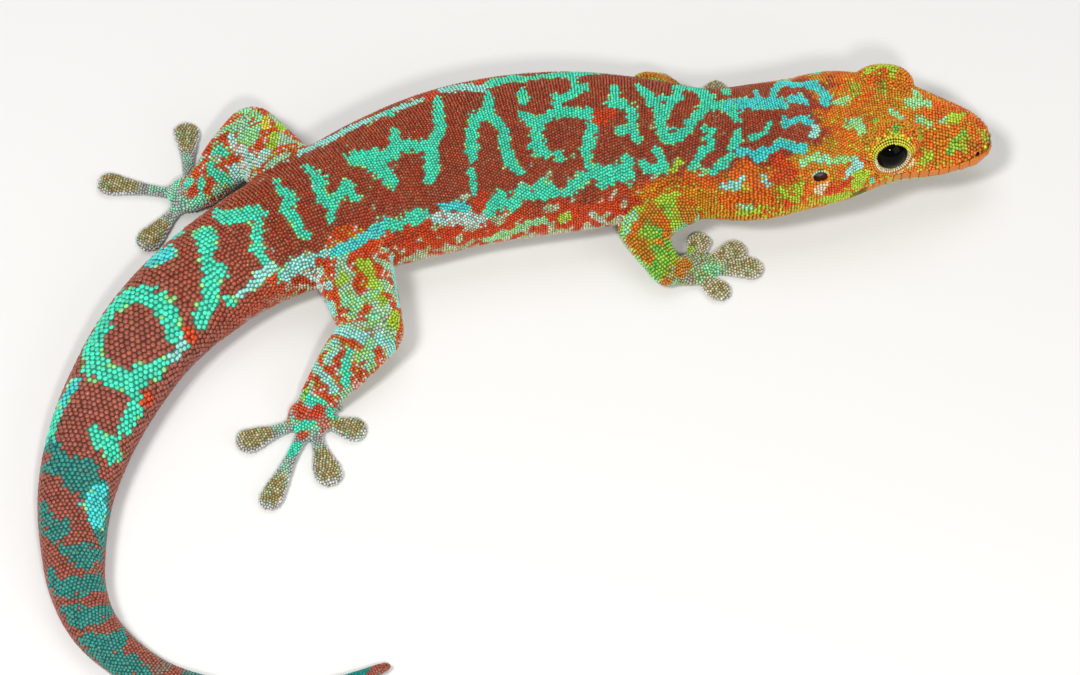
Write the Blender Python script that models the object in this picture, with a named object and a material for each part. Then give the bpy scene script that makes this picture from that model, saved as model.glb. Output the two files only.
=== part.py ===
"""Reunion Island day gecko, life size, as a still museum model lying on a flat floor.

The animal is one smooth body, parted by thin gaps into the pieces a person would name. The trunk, head
and tail are one row of sections along a curved back line. Each limb is a short chain of rounded tubes.
Lengths are in millimetres in this file and become metres when a mesh is made. The head points to +X,
the right flank faces -Y, and the belly, the feet and the tail rest at z = 0.
"""

import math

import bmesh
import bpy
import numpy as np

MM = 0.001
GAP = 0.3  # the thin cut that parts two neighbouring pieces
FLOOR = 0.0

# The middle of the model's box, in the drawing's own x and y, comes to stand over the origin.
CENTRE = (-1.31, -2.38, 0.0)

BODY_SIDES = 28
TAIL_SIDES = 18
LIMB_SIDES = 14
TOE_SIDES = 10

# The back line, from the snout to the tip of the tail: the centre of a section (x, y, z), its half
# width, its height above that centre and its depth below it.
BODY_LINE = {
    "snout": (45.0, 24.3, 4.85, 3.2, 2.05, 1.4),
    "nostrils": (42.6, 24.2, 5.35, 3.5, 2.1, 1.8),
    "muzzle": (39.6, 24.1, 6.0, 4.5, 2.7, 2.95),
    "eyes": (34.9, 24.15, 6.8, 5.5, 3.95, 4.3),
    "jaw": (30.0, 23.65, 6.8, 7.2, 4.25, 4.4),
    "nape": (25.6, 22.7, 6.4, 7.4, 4.4, 4.5),
    "neck": (20.8, 22.0, 5.9, 7.6, 4.7, 4.9),
    "shoulders": (15.6, 22.3, 5.5, 7.0, 5.0, 5.3),
    "chest": (10.9, 22.8, 5.4, 7.6, 5.3, 5.5),
    "ribs": (5.5, 22.8, 5.3, 8.7, 5.5, 5.6),
    "middle": (-1.0, 22.2, 5.3, 9.2, 5.6, 5.7),
    "belly": (-8.0, 20.7, 5.2, 9.1, 5.5, 5.6),
    "loin": (-14.5, 18.1, 5.0, 8.5, 5.3, 5.4),
    "hips": (-20.7, 15.1, 4.7, 7.4, 4.9, 5.1),
    "pelvis": (-24.8, 12.9, 4.4, 6.7, 4.5, 4.7),
    "vent": (-28.8, 10.4, 4.1, 6.2, 4.2, 4.3),
    "tail_root": (-33.6, 6.1, 3.8, 5.7, 4.0, 4.0),
    "tail_1": (-37.8, 0.7, 3.6, 5.2, 3.75, 3.8),
    "tail_2": (-40.7, -5.1, 3.35, 4.75, 3.5, 3.5),
    "tail_3": (-42.9, -11.3, 3.1, 4.3, 3.25, 3.25),
    "tail_4": (-44.2, -18.7, 2.75, 3.65, 2.85, 2.9),
    "tail_5": (-44.1, -23.7, 2.5, 3.2, 2.6, 2.65),
    "tail_6": (-43.4, -28.7, 2.2, 2.75, 2.3, 2.35),
    "tail_7": (-41.6, -32.9, 1.95, 2.4, 2.05, 2.1),
    "tail_8": (-39.1, -35.7, 1.75, 2.15, 1.85, 1.9),
    "tail_9": (-35.4, -38.3, 1.5, 1.95, 1.6, 1.65),
    "tail_10": (-30.4, -39.8, 1.3, 1.7, 1.35, 1.45),
    "tail_11": (-24.8, -40.2, 1.05, 1.35, 1.1, 1.2),
    "tail_12": (-19.0, -38.6, 0.85, 1.0, 0.9, 0.95),
    "tail_tip": (-13.6, -36.0, 0.7, 0.65, 0.65, 0.7),
}
SNOUT_ROUND = 3.4  # how far back the snout's rounding reaches
TIP_ROUND = 0.9
SNOUT_RINGS = (0.12, 0.4, 0.9)  # the first sections, close together where the snout is roundest
TIP_RING = 0.1
SIDE_FULLNESS = 2.15  # exponent of a section's curve: 2 is an ellipse, more is squarer
BELLY_FULLNESS = 2.5

# Where one length of the body ends and the next begins, measured along the back line from the snout.
HEAD_END = 21.0
NECK_END = 28.0
VENT = 77.0
LIMB_CUT_REACH = 6.0  # how much of the neck and the tail also parts the limbs from the body
TAIL_CUTS = (99.0, 121.0, 143.0)

# The eyes, from the head's centre line.
EYE_ALONG = 11.0
EYE_SIDE = 3.95
EYE_RISE = 1.6
EYE_RADIUS = 1.95
EYE_OPENING = 1.62
EYE_LOOK_UP = math.radians(16.0)
EYE_LOOK_FORWARD = math.radians(8.0)
LID_THICKNESS = 0.34
LID_STEP = 0.4
LID_MOUND = (2.75, 2.6, 2.0)  # half sizes of the soft swelling that carries the lids
ORBIT_SIZE = (3.3, 2.25, 2.2)
ORBIT_SIDE = 3.55
ORBIT_RISE = 2.5
SOCKET_START = 0.4
SOCKET_REACH = 4.0

# The mouth: a groove between two lips, from one jaw corner round the snout to the other.
MOUTH_CORNER = 14.6
MOUTH_FRONT = 0.9
MOUTH_TIP = (0.45, 0.15)  # the last points, where the line passes under the tip of the snout
MOUTH_ANGLE = math.radians(24.0)
MOUTH_TURN_UNDER = math.radians(46.0)
MOUTH_TURN_REACH = 2.0
MOUTH_FADE_REACH = 3.5
MOUTH_GROOVE = 0.2
MOUTH_LIFT = 0.08
LIP_RADIUS = 0.58
LIP_DEPTH = 0.36  # how deep a lip's own centre line lies, so that only a low ridge shows
LIP_FADE = 0.3  # how much deeper it lies at the corner of the mouth
LIP_SETBACK = 0.5
LIP_ANGLE = math.radians(7.5)
LIP_SWELL = 0.1
LIP_POINTS = 17  # along one side; every second one is the middle of a lip plate

EAR_ALONG = 19.1
EAR_ANGLE = math.radians(28.0)
EAR_SIZE = (0.75, 0.5)
EAR_DEPTH = 0.75
EAR_LIFT = 0.1
NOSTRIL_ALONG = 1.7
NOSTRIL_ANGLE = math.radians(20.0)
NOSTRIL_RADIUS = 0.3
NOSTRIL_LIFT = 0.05

# Each limb: root inside the body, middle joint, end joint, and the radius at each of the three.
LIMBS = {
    "right_arm": ((16.6, 18.2, 4.7), (9.7, 13.6, 4.0), (12.4, 10.1, 1.8), (2.3, 2.2, 1.6)),
    "left_arm": ((16.4, 26.4, 4.7), (10.7, 31.2, 4.2), (13.6, 32.6, 1.8), (2.3, 2.15, 1.5)),
    "right_leg": ((-19.6, 12.8, 4.9), (-16.2, 1.0, 3.9), (-21.6, -6.1, 1.9), (4.3, 3.1, 1.85)),
    "left_leg": ((-23.8, 17.4, 4.8), (-28.7, 25.6, 4.1), (-33.5, 20.5, 1.95), (3.7, 2.95, 1.95)),
}
SEGMENT_NAMES = {
    "arm": ("upper_arm", "forearm", "hand"),
    "leg": ("thigh", "shin", "foot"),
}
# Each hand and foot: the palm's centre and half sizes, then each toe as the middle of its pad, the
# pad's half width and the half length of the pad. The first toe is a short stump, as in all day geckos.
FEET = {
    "right_arm": (
        (14.9, 11.1),
        (2.6, 1.9, 0.95),
        (
            (15.7, 14.3, 1.3, 1.7),
            (18.8, 13.4, 1.35, 1.9),
            (20.3, 11.4, 1.45, 1.9),
            (17.2, 9.0, 1.35, 1.9),
            (13.1, 13.0, 0.45, 0.6),
        ),
    ),
    "left_arm": (
        (15.1, 32.7),
        (2.4, 1.9, 0.95),
        (
            (12.6, 35.3, 1.3, 1.8),
            (17.4, 34.3, 1.35, 1.8),
            (20.0, 32.4, 1.4, 1.9),
            (18.9, 29.9, 1.3, 1.7),
            (14.6, 30.4, 0.45, 0.6),
        ),
    ),
    "right_leg": (
        (-22.2, -7.3),
        (2.4, 2.3, 1.1),
        (
            (-27.6, -9.7, 1.55, 1.9),
            (-25.5, -16.2, 1.45, 2.3),
            (-20.5, -13.2, 1.55, 2.2),
            (-18.4, -8.4, 1.5, 1.8),
            (-19.5, -5.9, 0.45, 0.6),
        ),
    ),
    "left_leg": (
        (-35.0, 20.6),
        (2.3, 2.3, 1.1),
        (
            (-35.6, 28.4, 1.45, 2.2),
            (-42.4, 22.1, 1.5, 2.3),
            (-38.4, 15.6, 1.5, 2.1),
            (-31.6, 25.6, 1.3, 1.7),
            (-33.2, 23.6, 0.45, 0.6),
        ),
    ),
}
TOE_WIDTH = 0.78  # half width of a toe's slender stalk
TOE_THICKNESS = 1.2
PAD_THICKNESS = 1.15
STUMP_THICKNESS = 1.0
STALK_SHARE = 0.85  # how far the stalk runs on before the pad widens
# A pad's outline: how far along the pad, and the share of its half width and thickness there.
PAD_PROFILE = ((0.3, 0.82, 1.0), (0.55, 1.0, 1.0), (0.78, 0.93, 1.0), (0.93, 0.6, 0.75))
PAD_TIP_RISE = 0.37

LIMB_FULLNESS = (1.04, 1.09)  # a limb's two lengths are fullest half way along
SHIN_RISE = 0.25
HEEL_TAPER = (0.98, 0.9, 0.7)
PALM_RISE = 0.85

# Colour, roughness and metallic value of each finish.
FINISHES = {
    "back_skin": ((0.235, 0.045, 0.032, 1.0), 0.5, 0.0),
    "head_skin": ((0.42, 0.085, 0.015, 1.0), 0.5, 0.0),
    "limb_skin": ((0.33, 0.10, 0.03, 1.0), 0.5, 0.0),
    "toe_pads": ((0.32, 0.27, 0.20, 1.0), 0.55, 0.0),
    "eye": ((0.004, 0.004, 0.005, 1.0), 0.06, 0.0),
}


def clear_scene():
    for obj in list(bpy.data.objects):
        bpy.data.objects.remove(obj, do_unlink=True)


def finish(name):
    """The material of one finish, made once."""
    if name in bpy.data.materials:
        return bpy.data.materials[name]
    colour, roughness, metallic = FINISHES[name]
    material = bpy.data.materials.new(name)
    material.use_nodes = True
    shader = material.node_tree.nodes["Principled BSDF"]
    shader.inputs["Base Color"].default_value = colour
    shader.inputs["Roughness"].default_value = roughness
    shader.inputs["Metallic"].default_value = metallic
    material.diffuse_color = colour
    return material


def smooth_through(knots, values, at):
    """A smooth curve through the values at the knots, read at the places `at`."""
    knots = np.asarray(knots, float)
    values = np.asarray(values, float)
    steps = np.diff(knots)[:, None]
    chords = np.diff(values, axis=0) / steps
    slopes = np.empty_like(values)
    slopes[0] = chords[0]
    slopes[-1] = chords[-1]
    slopes[1:-1] = (chords[:-1] * steps[1:] + chords[1:] * steps[:-1]) / (steps[1:] + steps[:-1])
    at = np.clip(np.atleast_1d(np.asarray(at, float)), knots[0], knots[-1])
    cell = np.clip(np.searchsorted(knots, at, side="right") - 1, 0, len(knots) - 2)
    step = steps[cell]
    t = ((at - knots[cell]) / step[:, 0])[:, None]
    start = (1 + 2 * t) * (1 - t) ** 2 * values[cell] + t * (1 - t) ** 2 * step * slopes[cell]
    end = t**2 * (3 - 2 * t) * values[cell + 1] + t**2 * (t - 1) * step * slopes[cell + 1]
    return start + end


BODY = np.array(list(BODY_LINE.values()))
BODY_KNOTS = np.concatenate([[0.0], np.cumsum(np.linalg.norm(np.diff(BODY[:, :3], axis=0), axis=1))])
BODY_LENGTH = float(BODY_KNOTS[-1])


def turns(count):
    """Evenly spaced angles round a circle."""
    return np.arange(count) * (2 * math.pi / count)


def round_end(distance, reach):
    """1 along a body, falling to 0 as a quarter ellipse over the last stretch before its end."""
    inward = np.clip(distance / reach, 0.0, 1.0)
    return np.sqrt(np.clip(1.0 - (1.0 - inward) ** 2, 0.0, 1.0))


def body_frames(along):
    """Centres, directions to the left and section sizes at distances along the back line."""
    read = smooth_through(BODY_KNOTS, BODY, along)
    nudge = 0.25
    ahead = smooth_through(BODY_KNOTS, BODY, np.asarray(along) - nudge)[:, :2]
    behind = smooth_through(BODY_KNOTS, BODY, np.asarray(along) + nudge)[:, :2]
    forward = ahead - behind
    forward /= np.linalg.norm(forward, axis=1)[:, None]
    left = np.stack([-forward[:, 1], forward[:, 0], np.zeros(len(forward))], axis=1)
    return read[:, :3], left, read[:, 3:]


def body_points(along, angles, grow=0.0):
    """Skin points, one row for each distance along and one column for each angle.

    An angle of 0 is the animal's left side, a quarter turn is the middle of its back.
    """
    along = np.atleast_1d(np.asarray(along, float))
    centres, left, sizes = body_frames(along)
    taper = round_end(along, SNOUT_ROUND) * round_end(BODY_LENGTH - along, TIP_ROUND)
    cosine = np.cos(angles)
    sine = np.sin(angles)
    fullness = np.where(sine >= 0, SIDE_FULLNESS, BELLY_FULLNESS)
    side = np.sign(cosine) * np.abs(cosine) ** (2 / fullness)
    rise = np.sign(sine) * np.abs(sine) ** (2 / fullness)
    half_width, above, below = (sizes * taper[:, None] + grow).T[:, :, None]
    width = half_width * side
    height = np.where(sine >= 0, above, below) * rise
    points = centres[:, None, :] + left[:, None, :] * width[..., None]
    points[..., 2] += height
    if not grow:
        points[..., 2] = np.maximum(points[..., 2], FLOOR)
    return points


def skin_point(along, angle, lift=0.0):
    """One point on the skin, lifted off it by `lift` away from the section's centre."""
    point = body_points([along], np.array([angle]))[0, 0]
    centre = body_frames([along])[0][0]
    outward = point - centre
    return point + outward / np.linalg.norm(outward) * lift


def new_object(name, mesh, material):
    obj = bpy.data.objects.new(name, mesh)
    bpy.context.scene.collection.objects.link(obj)
    if material:
        mesh.materials.append(finish(material))
    return obj


def mesh_from_rings(name, rings, start_pole=None, end_pole=None, closed=False):
    """A closed mesh through rings of points, with a flat face or a pole at each end.

    A closed row of rings has no ends: its last ring joins its first.
    """
    mesh = bpy.data.meshes.new(name)
    build = bmesh.new()

    def vertex(point):
        return build.verts.new((np.asarray(point) - np.array(CENTRE)) * MM)

    rows = [[vertex(point) for point in ring] for ring in rings]
    following = rows[1:] + rows[:1] if closed else rows[1:]
    for row, after in zip(rows, following):
        for i in range(len(row)):
            j = (i + 1) % len(row)
            build.faces.new((row[i], row[j], after[j], after[i]))
    ends = () if closed else ((start_pole, rows[0]), (end_pole, rows[-1]))
    for pole, row in ends:
        if pole is None:
            build.faces.new(row)
            continue
        tip = vertex(pole)
        for i in range(len(row)):
            build.faces.new((row[i], row[(i + 1) % len(row)], tip))
    bmesh.ops.recalc_face_normals(build, faces=build.faces)
    if build.calc_volume(signed=True) < 0:
        bmesh.ops.reverse_faces(build, faces=build.faces)
    build.to_mesh(mesh)
    build.free()
    return mesh


def body_length_mesh(name, start, end, spacing, sides, grow=0.0):
    """A length of the body between two distances along the back line, cut off flat or closed at a tip."""
    angles = turns(sides) + math.pi / sides
    at_snout = start <= 0
    at_tip = end >= BODY_LENGTH
    first = SNOUT_RINGS[0] if at_snout else start
    last = BODY_LENGTH - TIP_RING if at_tip else end
    along = list(np.linspace(first, last, max(2, round((last - first) / spacing) + 1)))
    if at_snout:
        along = list(SNOUT_RINGS) + [place for place in along if place > SNOUT_RINGS[-1] + spacing / 2]
    rings = body_points(along, angles, grow)
    start_pole = body_frames([0.0])[0][0] if at_snout else None
    end_pole = body_frames([BODY_LENGTH])[0][0] if at_tip else None
    return mesh_from_rings(name, rings, start_pole, end_pole)


def above_floor(points):
    """The same points, with none lower than the floor."""
    points[..., 2] = np.maximum(points[..., 2], FLOOR)
    return points


def dome_station(end, ahead_share, radius_share):
    """A section in the round end of a tube, given as shares of the tube's radius there."""
    centre, ahead, radius = end
    return centre + ahead * radius * ahead_share, ahead, radius * radius_share


def tube_mesh(name, points, radii, sides=LIMB_SIDES, spacing=1.3, grow=0.0, floor=True):
    """A tube with round ends through three or more points."""
    points = np.asarray(points, float)
    knots = np.concatenate([[0.0], np.cumsum(np.linalg.norm(np.diff(points, axis=0), axis=1))])
    length = knots[-1]
    count = max(3, round(length / spacing) + 1)
    along = np.linspace(0.0, length, count)
    centres = smooth_through(knots, points, along)
    wide = smooth_through(knots, np.asarray(radii, float)[:, None], along)[:, 0] + grow
    forward = np.gradient(centres, axis=0)
    forward /= np.linalg.norm(forward, axis=1)[:, None]
    domes = np.radians((30.0, 60.0))
    start, end = (centres[0], forward[0], wide[0]), (centres[-1], forward[-1], wide[-1])
    stations = [dome_station(start, -math.cos(turn), math.sin(turn)) for turn in domes]
    stations += list(zip(centres, forward, wide))
    stations += [dome_station(end, math.sin(turn), math.cos(turn)) for turn in domes]
    rings = []
    for centre, ahead, radius in stations:
        side = np.cross((0.0, 0.0, 1.0), ahead)
        side /= np.linalg.norm(side)
        up = np.cross(ahead, side)
        circle = np.cos(turns(sides))[:, None] * side + np.sin(turns(sides))[:, None] * up
        rings.append(centre + radius * circle)
    poles = [dome_station(start, -1.0, 0.0)[0], dome_station(end, 1.0, 0.0)[0]]
    rings = np.array(rings)
    if floor and not grow:
        rings, poles = above_floor(rings), above_floor(np.array(poles))
    return mesh_from_rings(name, rings, poles[0], poles[1])


def ball_mesh(name, centre, axes, sizes, around=20, rows=10, floor=False):
    """A ball stretched along three axes, with its poles on the last of them."""
    axes = np.asarray(axes, float)
    sizes = np.asarray(sizes, float)
    centre = np.asarray(centre, float)
    circle = np.stack([np.cos(turns(around)), np.sin(turns(around)), np.zeros(around)], axis=1)
    pole = np.array([0.0, 0.0, 1.0])
    tilts = np.arange(1, rows) * math.pi / rows
    unit = [circle * math.sin(tilt) + pole * math.cos(tilt) for tilt in tilts]
    rings = centre + (np.array(unit) * sizes) @ axes
    poles = centre + np.array([axes[2], -axes[2]]) * sizes[2]
    if floor:
        rings, poles = above_floor(rings), above_floor(poles)
    return mesh_from_rings(name, rings, poles[0], poles[1])


def ring_mesh(name, centre, axes, radius, thickness, around=20, sides=8):
    """A closed ring round the last of three axes."""
    rings = []
    roll = turns(sides)[:, None]
    for turn in turns(around):
        out = math.cos(turn) * axes[0] + math.sin(turn) * axes[1]
        ring = centre + out * radius + thickness * (np.cos(roll) * out + np.sin(roll) * axes[2])
        rings.append(ring)
    return mesh_from_rings(name, rings, closed=True)


def apply_modifiers(obj):
    """The object's evaluated mesh takes the place of its own, and its modifiers go."""
    graph = bpy.context.evaluated_depsgraph_get()
    result = bpy.data.meshes.new_from_object(obj.evaluated_get(graph))
    obj.modifiers.clear()
    obj.data = result


def keep_largest_body(obj):
    """Only the largest closed surface stays, so that no scrap or sealed hollow is left by a Boolean."""
    build = bmesh.new()
    build.from_mesh(obj.data)
    unseen = set(build.verts)
    bodies = []
    while unseen:
        front = [unseen.pop()]
        body = set(front)
        while front:
            vert = front.pop()
            for edge in vert.link_edges:
                other = edge.other_vert(vert)
                if other in unseen:
                    unseen.remove(other)
                    body.add(other)
                    front.append(other)
        bodies.append(body)
    bodies.sort(key=len)
    for body in bodies[:-1]:
        bmesh.ops.delete(build, geom=list(body), context="VERTS")
    bmesh.ops.dissolve_degenerate(build, edges=build.edges, dist=1e-7)
    build.to_mesh(obj.data)
    build.free()


def combine(obj, meshes, operation):
    """Joins closed meshes to an object, or cuts them from it, with one Boolean."""
    group = bpy.data.collections.new(obj.name + "_tools")
    bpy.context.scene.collection.children.link(group)
    helpers = []
    for mesh in meshes:
        helper = bpy.data.objects.new(mesh.name, mesh)
        helper.hide_render = True
        helper.display_type = "WIRE"
        group.objects.link(helper)
        helpers.append(helper)
    boolean = obj.modifiers.new(operation.lower(), "BOOLEAN")
    boolean.operand_type = "COLLECTION"
    boolean.operation = operation
    boolean.solver = "EXACT"
    boolean.collection = group
    apply_modifiers(obj)
    for helper in helpers:
        bpy.data.objects.remove(helper, do_unlink=True)
    bpy.data.collections.remove(group)
    keep_largest_body(obj)


def shade(obj, sharp_angle=math.radians(50.0)):
    obj.data.shade_smooth()
    obj.data.set_sharp_from_angle(angle=sharp_angle)


def head_axes(along):
    """The centre of a section, with the directions to the front, to the left and up."""
    centres, left, _ = body_frames([along])
    left = left[0]
    return centres[0], np.array([left[1], -left[0], 0.0]), left, np.array([0.0, 0.0, 1.0])


def eye_frame(side):
    """Centre of an eyeball and its three axes, the last one looking out.

    Side is 1 on the left and -1 on the right.
    """
    middle, forward, left, up = head_axes(EYE_ALONG)
    centre = middle + left * side * EYE_SIDE + up * EYE_RISE
    out = left * side * math.cos(EYE_LOOK_UP) + up * math.sin(EYE_LOOK_UP)
    out = out * math.cos(EYE_LOOK_FORWARD) + forward * math.sin(EYE_LOOK_FORWARD)
    across = np.cross(up, out)
    across /= np.linalg.norm(across)
    return centre, np.array([across, np.cross(out, across), out])


def orbit_mesh(side):
    """The low swelling of the head over one eye."""
    middle, forward, left, up = head_axes(EYE_ALONG)
    centre = middle + left * side * ORBIT_SIDE + up * ORBIT_RISE
    return ball_mesh("orbit", centre, (forward, left, up), ORBIT_SIZE)


def mouth_path(lean, lift, fade=0.0, setback=0.0):
    """Points along the mouth, from the right corner round the snout to the left one.

    The line keeps one angle below the sides of the head and turns under the tip of the snout. The
    lean moves it down to one lip or up to the other, the fade sinks its two ends, and the setback
    draws it back at the tip of the snout.
    """
    back = np.concatenate([np.linspace(MOUTH_CORNER, MOUTH_FRONT, LIP_POINTS), MOUTH_TIP])
    turn = MOUTH_TURN_UNDER * np.clip(1.0 - back / MOUTH_TURN_REACH, 0.0, 1.0) ** 2
    angles = MOUTH_ANGLE + lean + turn
    lifts = lift - fade * np.clip((back - MOUTH_CORNER) / MOUTH_FADE_REACH + 1.0, 0.0, 1.0) ** 2
    back = back + setback * (1.0 - back / MOUTH_CORNER)
    right = [skin_point(*place) for place in zip(back, math.pi + angles, lifts)]
    left = [skin_point(*place) for place in zip(back, -angles, lifts)]
    return right + left[::-1]


def lip_mesh(name, lean):
    """One lip: a low ridge that swells at each of its plates."""
    points = mouth_path(lean, -LIP_DEPTH, LIP_FADE, LIP_SETBACK)
    radii = LIP_RADIUS * (1.0 - LIP_SWELL * (np.arange(len(points)) % 2))
    return tube_mesh(name, points, radii, sides=10, spacing=0.7, floor=False)


def mouth_groove_mesh():
    points = mouth_path(0.0, MOUTH_LIFT)
    return tube_mesh("mouth", points, [MOUTH_GROOVE] * len(points), sides=6, spacing=0.8, floor=False)


def lid_meshes(side):
    """The soft mound round one eye and the thick edge of its lids."""
    centre, axes = eye_frame(side)
    rim = math.sqrt(EYE_RADIUS**2 - EYE_OPENING**2)
    lid_centre = centre + axes[2] * (rim + LID_STEP)
    return [
        ball_mesh("lid_mound", centre, axes, LID_MOUND),
        ring_mesh("lids", lid_centre, axes, EYE_OPENING + LID_THICKNESS, LID_THICKNESS),
    ]


def socket_meshes(side):
    """What is cut away for one eyeball and for the opening between its lids."""
    centre, axes = eye_frame(side)
    reaches = (SOCKET_START, SOCKET_REACH / 2, SOCKET_REACH)
    opening = [centre + axes[2] * reach for reach in reaches]
    return [
        ball_mesh("socket", centre, axes, [EYE_RADIUS + GAP] * 3),
        tube_mesh("opening", opening, [EYE_OPENING] * 3, sides=20, spacing=1.5, floor=False),
    ]


def side_angle(side, angle):
    """An angle above the left side of the animal, or the same one above its right side."""
    return angle if side > 0 else math.pi - angle


def ear_mesh(side):
    """The cup of one ear, cut inwards from the skin."""
    turn = side_angle(side, EAR_ANGLE)
    rim = skin_point(EAR_ALONG, turn, EAR_LIFT)
    inward = rim - skin_point(EAR_ALONG, turn, EAR_LIFT + 1.0)
    inward /= np.linalg.norm(inward)
    upward = np.cross(inward, (1.0, 0.0, 0.0))
    upward /= np.linalg.norm(upward)
    axes = (np.cross(upward, inward), upward, inward)
    return ball_mesh("ear", rim, axes, (*EAR_SIZE, EAR_DEPTH), around=14, rows=8)


def nostril_mesh(side):
    centre = skin_point(NOSTRIL_ALONG, side_angle(side, NOSTRIL_ANGLE), NOSTRIL_LIFT)
    return ball_mesh("nostril", centre, np.eye(3), [NOSTRIL_RADIUS] * 3, around=10, rows=6)


def make_head():
    mesh = body_length_mesh("head", 0.0, HEAD_END - GAP / 2, 0.85, BODY_SIDES)
    head = new_object("head", mesh, "head_skin")
    added = [lip_mesh("upper_lip", -LIP_ANGLE), lip_mesh("lower_lip", LIP_ANGLE)]
    cuts = [mouth_groove_mesh()]
    for side in (-1, 1):
        added += [orbit_mesh(side), *lid_meshes(side)]
        cuts += [*socket_meshes(side), ear_mesh(side), nostril_mesh(side)]
    combine(head, added, "UNION")
    combine(head, cuts, "DIFFERENCE")
    shade(head)


def make_eye(name, side):
    centre, axes = eye_frame(side)
    shade(new_object(name, ball_mesh(name, centre, axes, [EYE_RADIUS] * 3), "eye"))


def make_trunk_and_tail():
    lengths = [
        ("neck", HEAD_END, NECK_END, 1.6, BODY_SIDES),
        ("torso", NECK_END, VENT, 1.9, BODY_SIDES),
        ("tail_base", VENT, TAIL_CUTS[0], 2.0, TAIL_SIDES),
        ("tail_middle", TAIL_CUTS[0], TAIL_CUTS[1], 2.0, TAIL_SIDES),
        ("tail_end", TAIL_CUTS[1], TAIL_CUTS[2], 2.0, TAIL_SIDES),
        ("tail_tip", TAIL_CUTS[2], BODY_LENGTH + GAP, 2.0, TAIL_SIDES),
    ]
    for name, start, end, spacing, sides in lengths:
        mesh = body_length_mesh(name, start + GAP / 2, end - GAP / 2, spacing, sides)
        shade(new_object(name, mesh, "back_skin"))


def limb_segments(limb, grow=0.0):
    """The two tubes of one limb, from the body to the middle joint and on to the hand or foot."""
    root, middle, end, radii = LIMBS[limb]
    root, middle, end = (np.array(point) for point in (root, middle, end))
    upper = [root, (root + middle) / 2, middle]
    lower = [middle, (middle + end) / 2 + np.array([0.0, 0.0, SHIN_RISE]), end]
    upper_radii = [radii[0], (radii[0] + radii[1]) / 2 * LIMB_FULLNESS[0], radii[1]]
    lower_radii = [radii[1], (radii[1] + radii[2]) / 2 * LIMB_FULLNESS[1], radii[2]]
    return (
        tube_mesh(limb + "_upper", upper, upper_radii, grow=grow),
        tube_mesh(limb + "_lower", lower, lower_radii, grow=grow),
    )


def toe_mesh(palm, pad):
    """One toe: a slender stalk from the palm that widens into a flat, round-ended pad."""
    x, y, half_width, half_length = pad
    start, middle = np.array(palm), np.array([x, y])
    ahead = (middle - start) / np.linalg.norm(middle - start)
    side = np.array([-ahead[1], ahead[0]])
    stalk = min(half_width, TOE_WIDTH)
    stump = half_width < TOE_WIDTH
    pad_start = np.linalg.norm(middle - start) - half_length
    # Distance from the palm, half width and thickness of each section.
    sections = [(0.0, stalk, TOE_THICKNESS), (pad_start * STALK_SHARE, stalk, TOE_THICKNESS)]
    for share, width, thickness in PAD_PROFILE:
        place = pad_start + 2 * half_length * share
        sections.append((place, max(half_width * width, stalk * 0.6), PAD_THICKNESS * thickness))
    rings = []
    angles = turns(TOE_SIDES) + math.pi / TOE_SIDES
    for place, width, thickness in sections:
        half = min(thickness, STUMP_THICKNESS if stump else thickness) / 2
        ring = np.zeros((TOE_SIDES, 3))
        ring[:, :2] = start + ahead * place + np.cos(angles)[:, None] * width * side
        ring[:, 2] = half * 0.95 + np.sin(angles) * half
        rings.append(above_floor(ring))
    tip = middle + ahead * half_length
    return mesh_from_rings("toe", rings, end_pole=(*tip, PAD_TIP_RISE))


def hand_meshes(limb):
    """The palm, the heel and the toes of one hand or foot, as closed meshes to be fused."""
    palm, sizes, pads = FEET[limb]
    _, _, wrist, radii = LIMBS[limb]
    wrist = np.array(wrist)
    centre = np.array([*palm, sizes[2] * PALM_RISE])
    ahead = centre - wrist
    ahead[2] = 0.0
    ahead /= np.linalg.norm(ahead)
    up = np.array([0.0, 0.0, 1.0])
    axes = (ahead, np.cross(up, ahead), up)
    palm_ball = ball_mesh("palm", centre, axes, sizes, around=16, rows=8, floor=True)
    heel_radii = radii[2] * np.array(HEEL_TAPER)
    heel = tube_mesh("heel", [wrist, (wrist + centre) / 2, centre], heel_radii, spacing=1.0)
    return [palm_ball, heel] + [toe_mesh(palm, pad) for pad in pads]


def make_limb(limb):
    """One limb in three pieces, each cut clear of the trunk and of the piece before it."""
    side, kind = limb.split("_")
    names = [f"{side}_{part}" for part in SEGMENT_NAMES[kind]]
    segments = limb_segments(limb)
    grown = list(limb_segments(limb, grow=GAP))
    reach = LIMB_CUT_REACH
    trunk = body_length_mesh("trunk", NECK_END - reach, VENT + reach, 1.7, BODY_SIDES, grow=GAP)
    upper = new_object(names[0], segments[0], "limb_skin")
    lower = new_object(names[1], segments[1], "limb_skin")
    pieces = hand_meshes(limb)
    hand = new_object(names[2], pieces[0], "toe_pads")
    combine(hand, pieces[1:], "UNION")
    for obj, cutters in ((upper, [trunk]), (lower, [trunk, grown[0]]), (hand, [trunk, *grown])):
        combine(obj, [cutter.copy() for cutter in cutters], "DIFFERENCE")
        shade(obj)


def main():
    clear_scene()
    make_head()
    make_eye("right_eye", -1)
    make_eye("left_eye", 1)
    make_trunk_and_tail()
    for limb in LIMBS:
        make_limb(limb)


main()
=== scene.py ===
# %% [markdown]
# A Reunion Island day gecko, life size, under its coat of scales.
#
# The real animal is a soft body wrapped in one skin that has no seam anywhere. Tens of thousands of small
# round scales cover that skin, and each scale is a single colour, so the turquoise net on the maroon back
# is a mosaic. This notebook makes the model the same way: first a clay form, then one skin over it, then
# the scales laid out on the skin, and last the markings, which give every scale its own colour.
#
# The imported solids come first. They fix the size and the pose, and nothing here moves them.

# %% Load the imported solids
import math

import bmesh
import bpy
import numpy as np
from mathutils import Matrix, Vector
from mathutils.bvhtree import BVHTree
from mathutils.kdtree import KDTree


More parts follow.
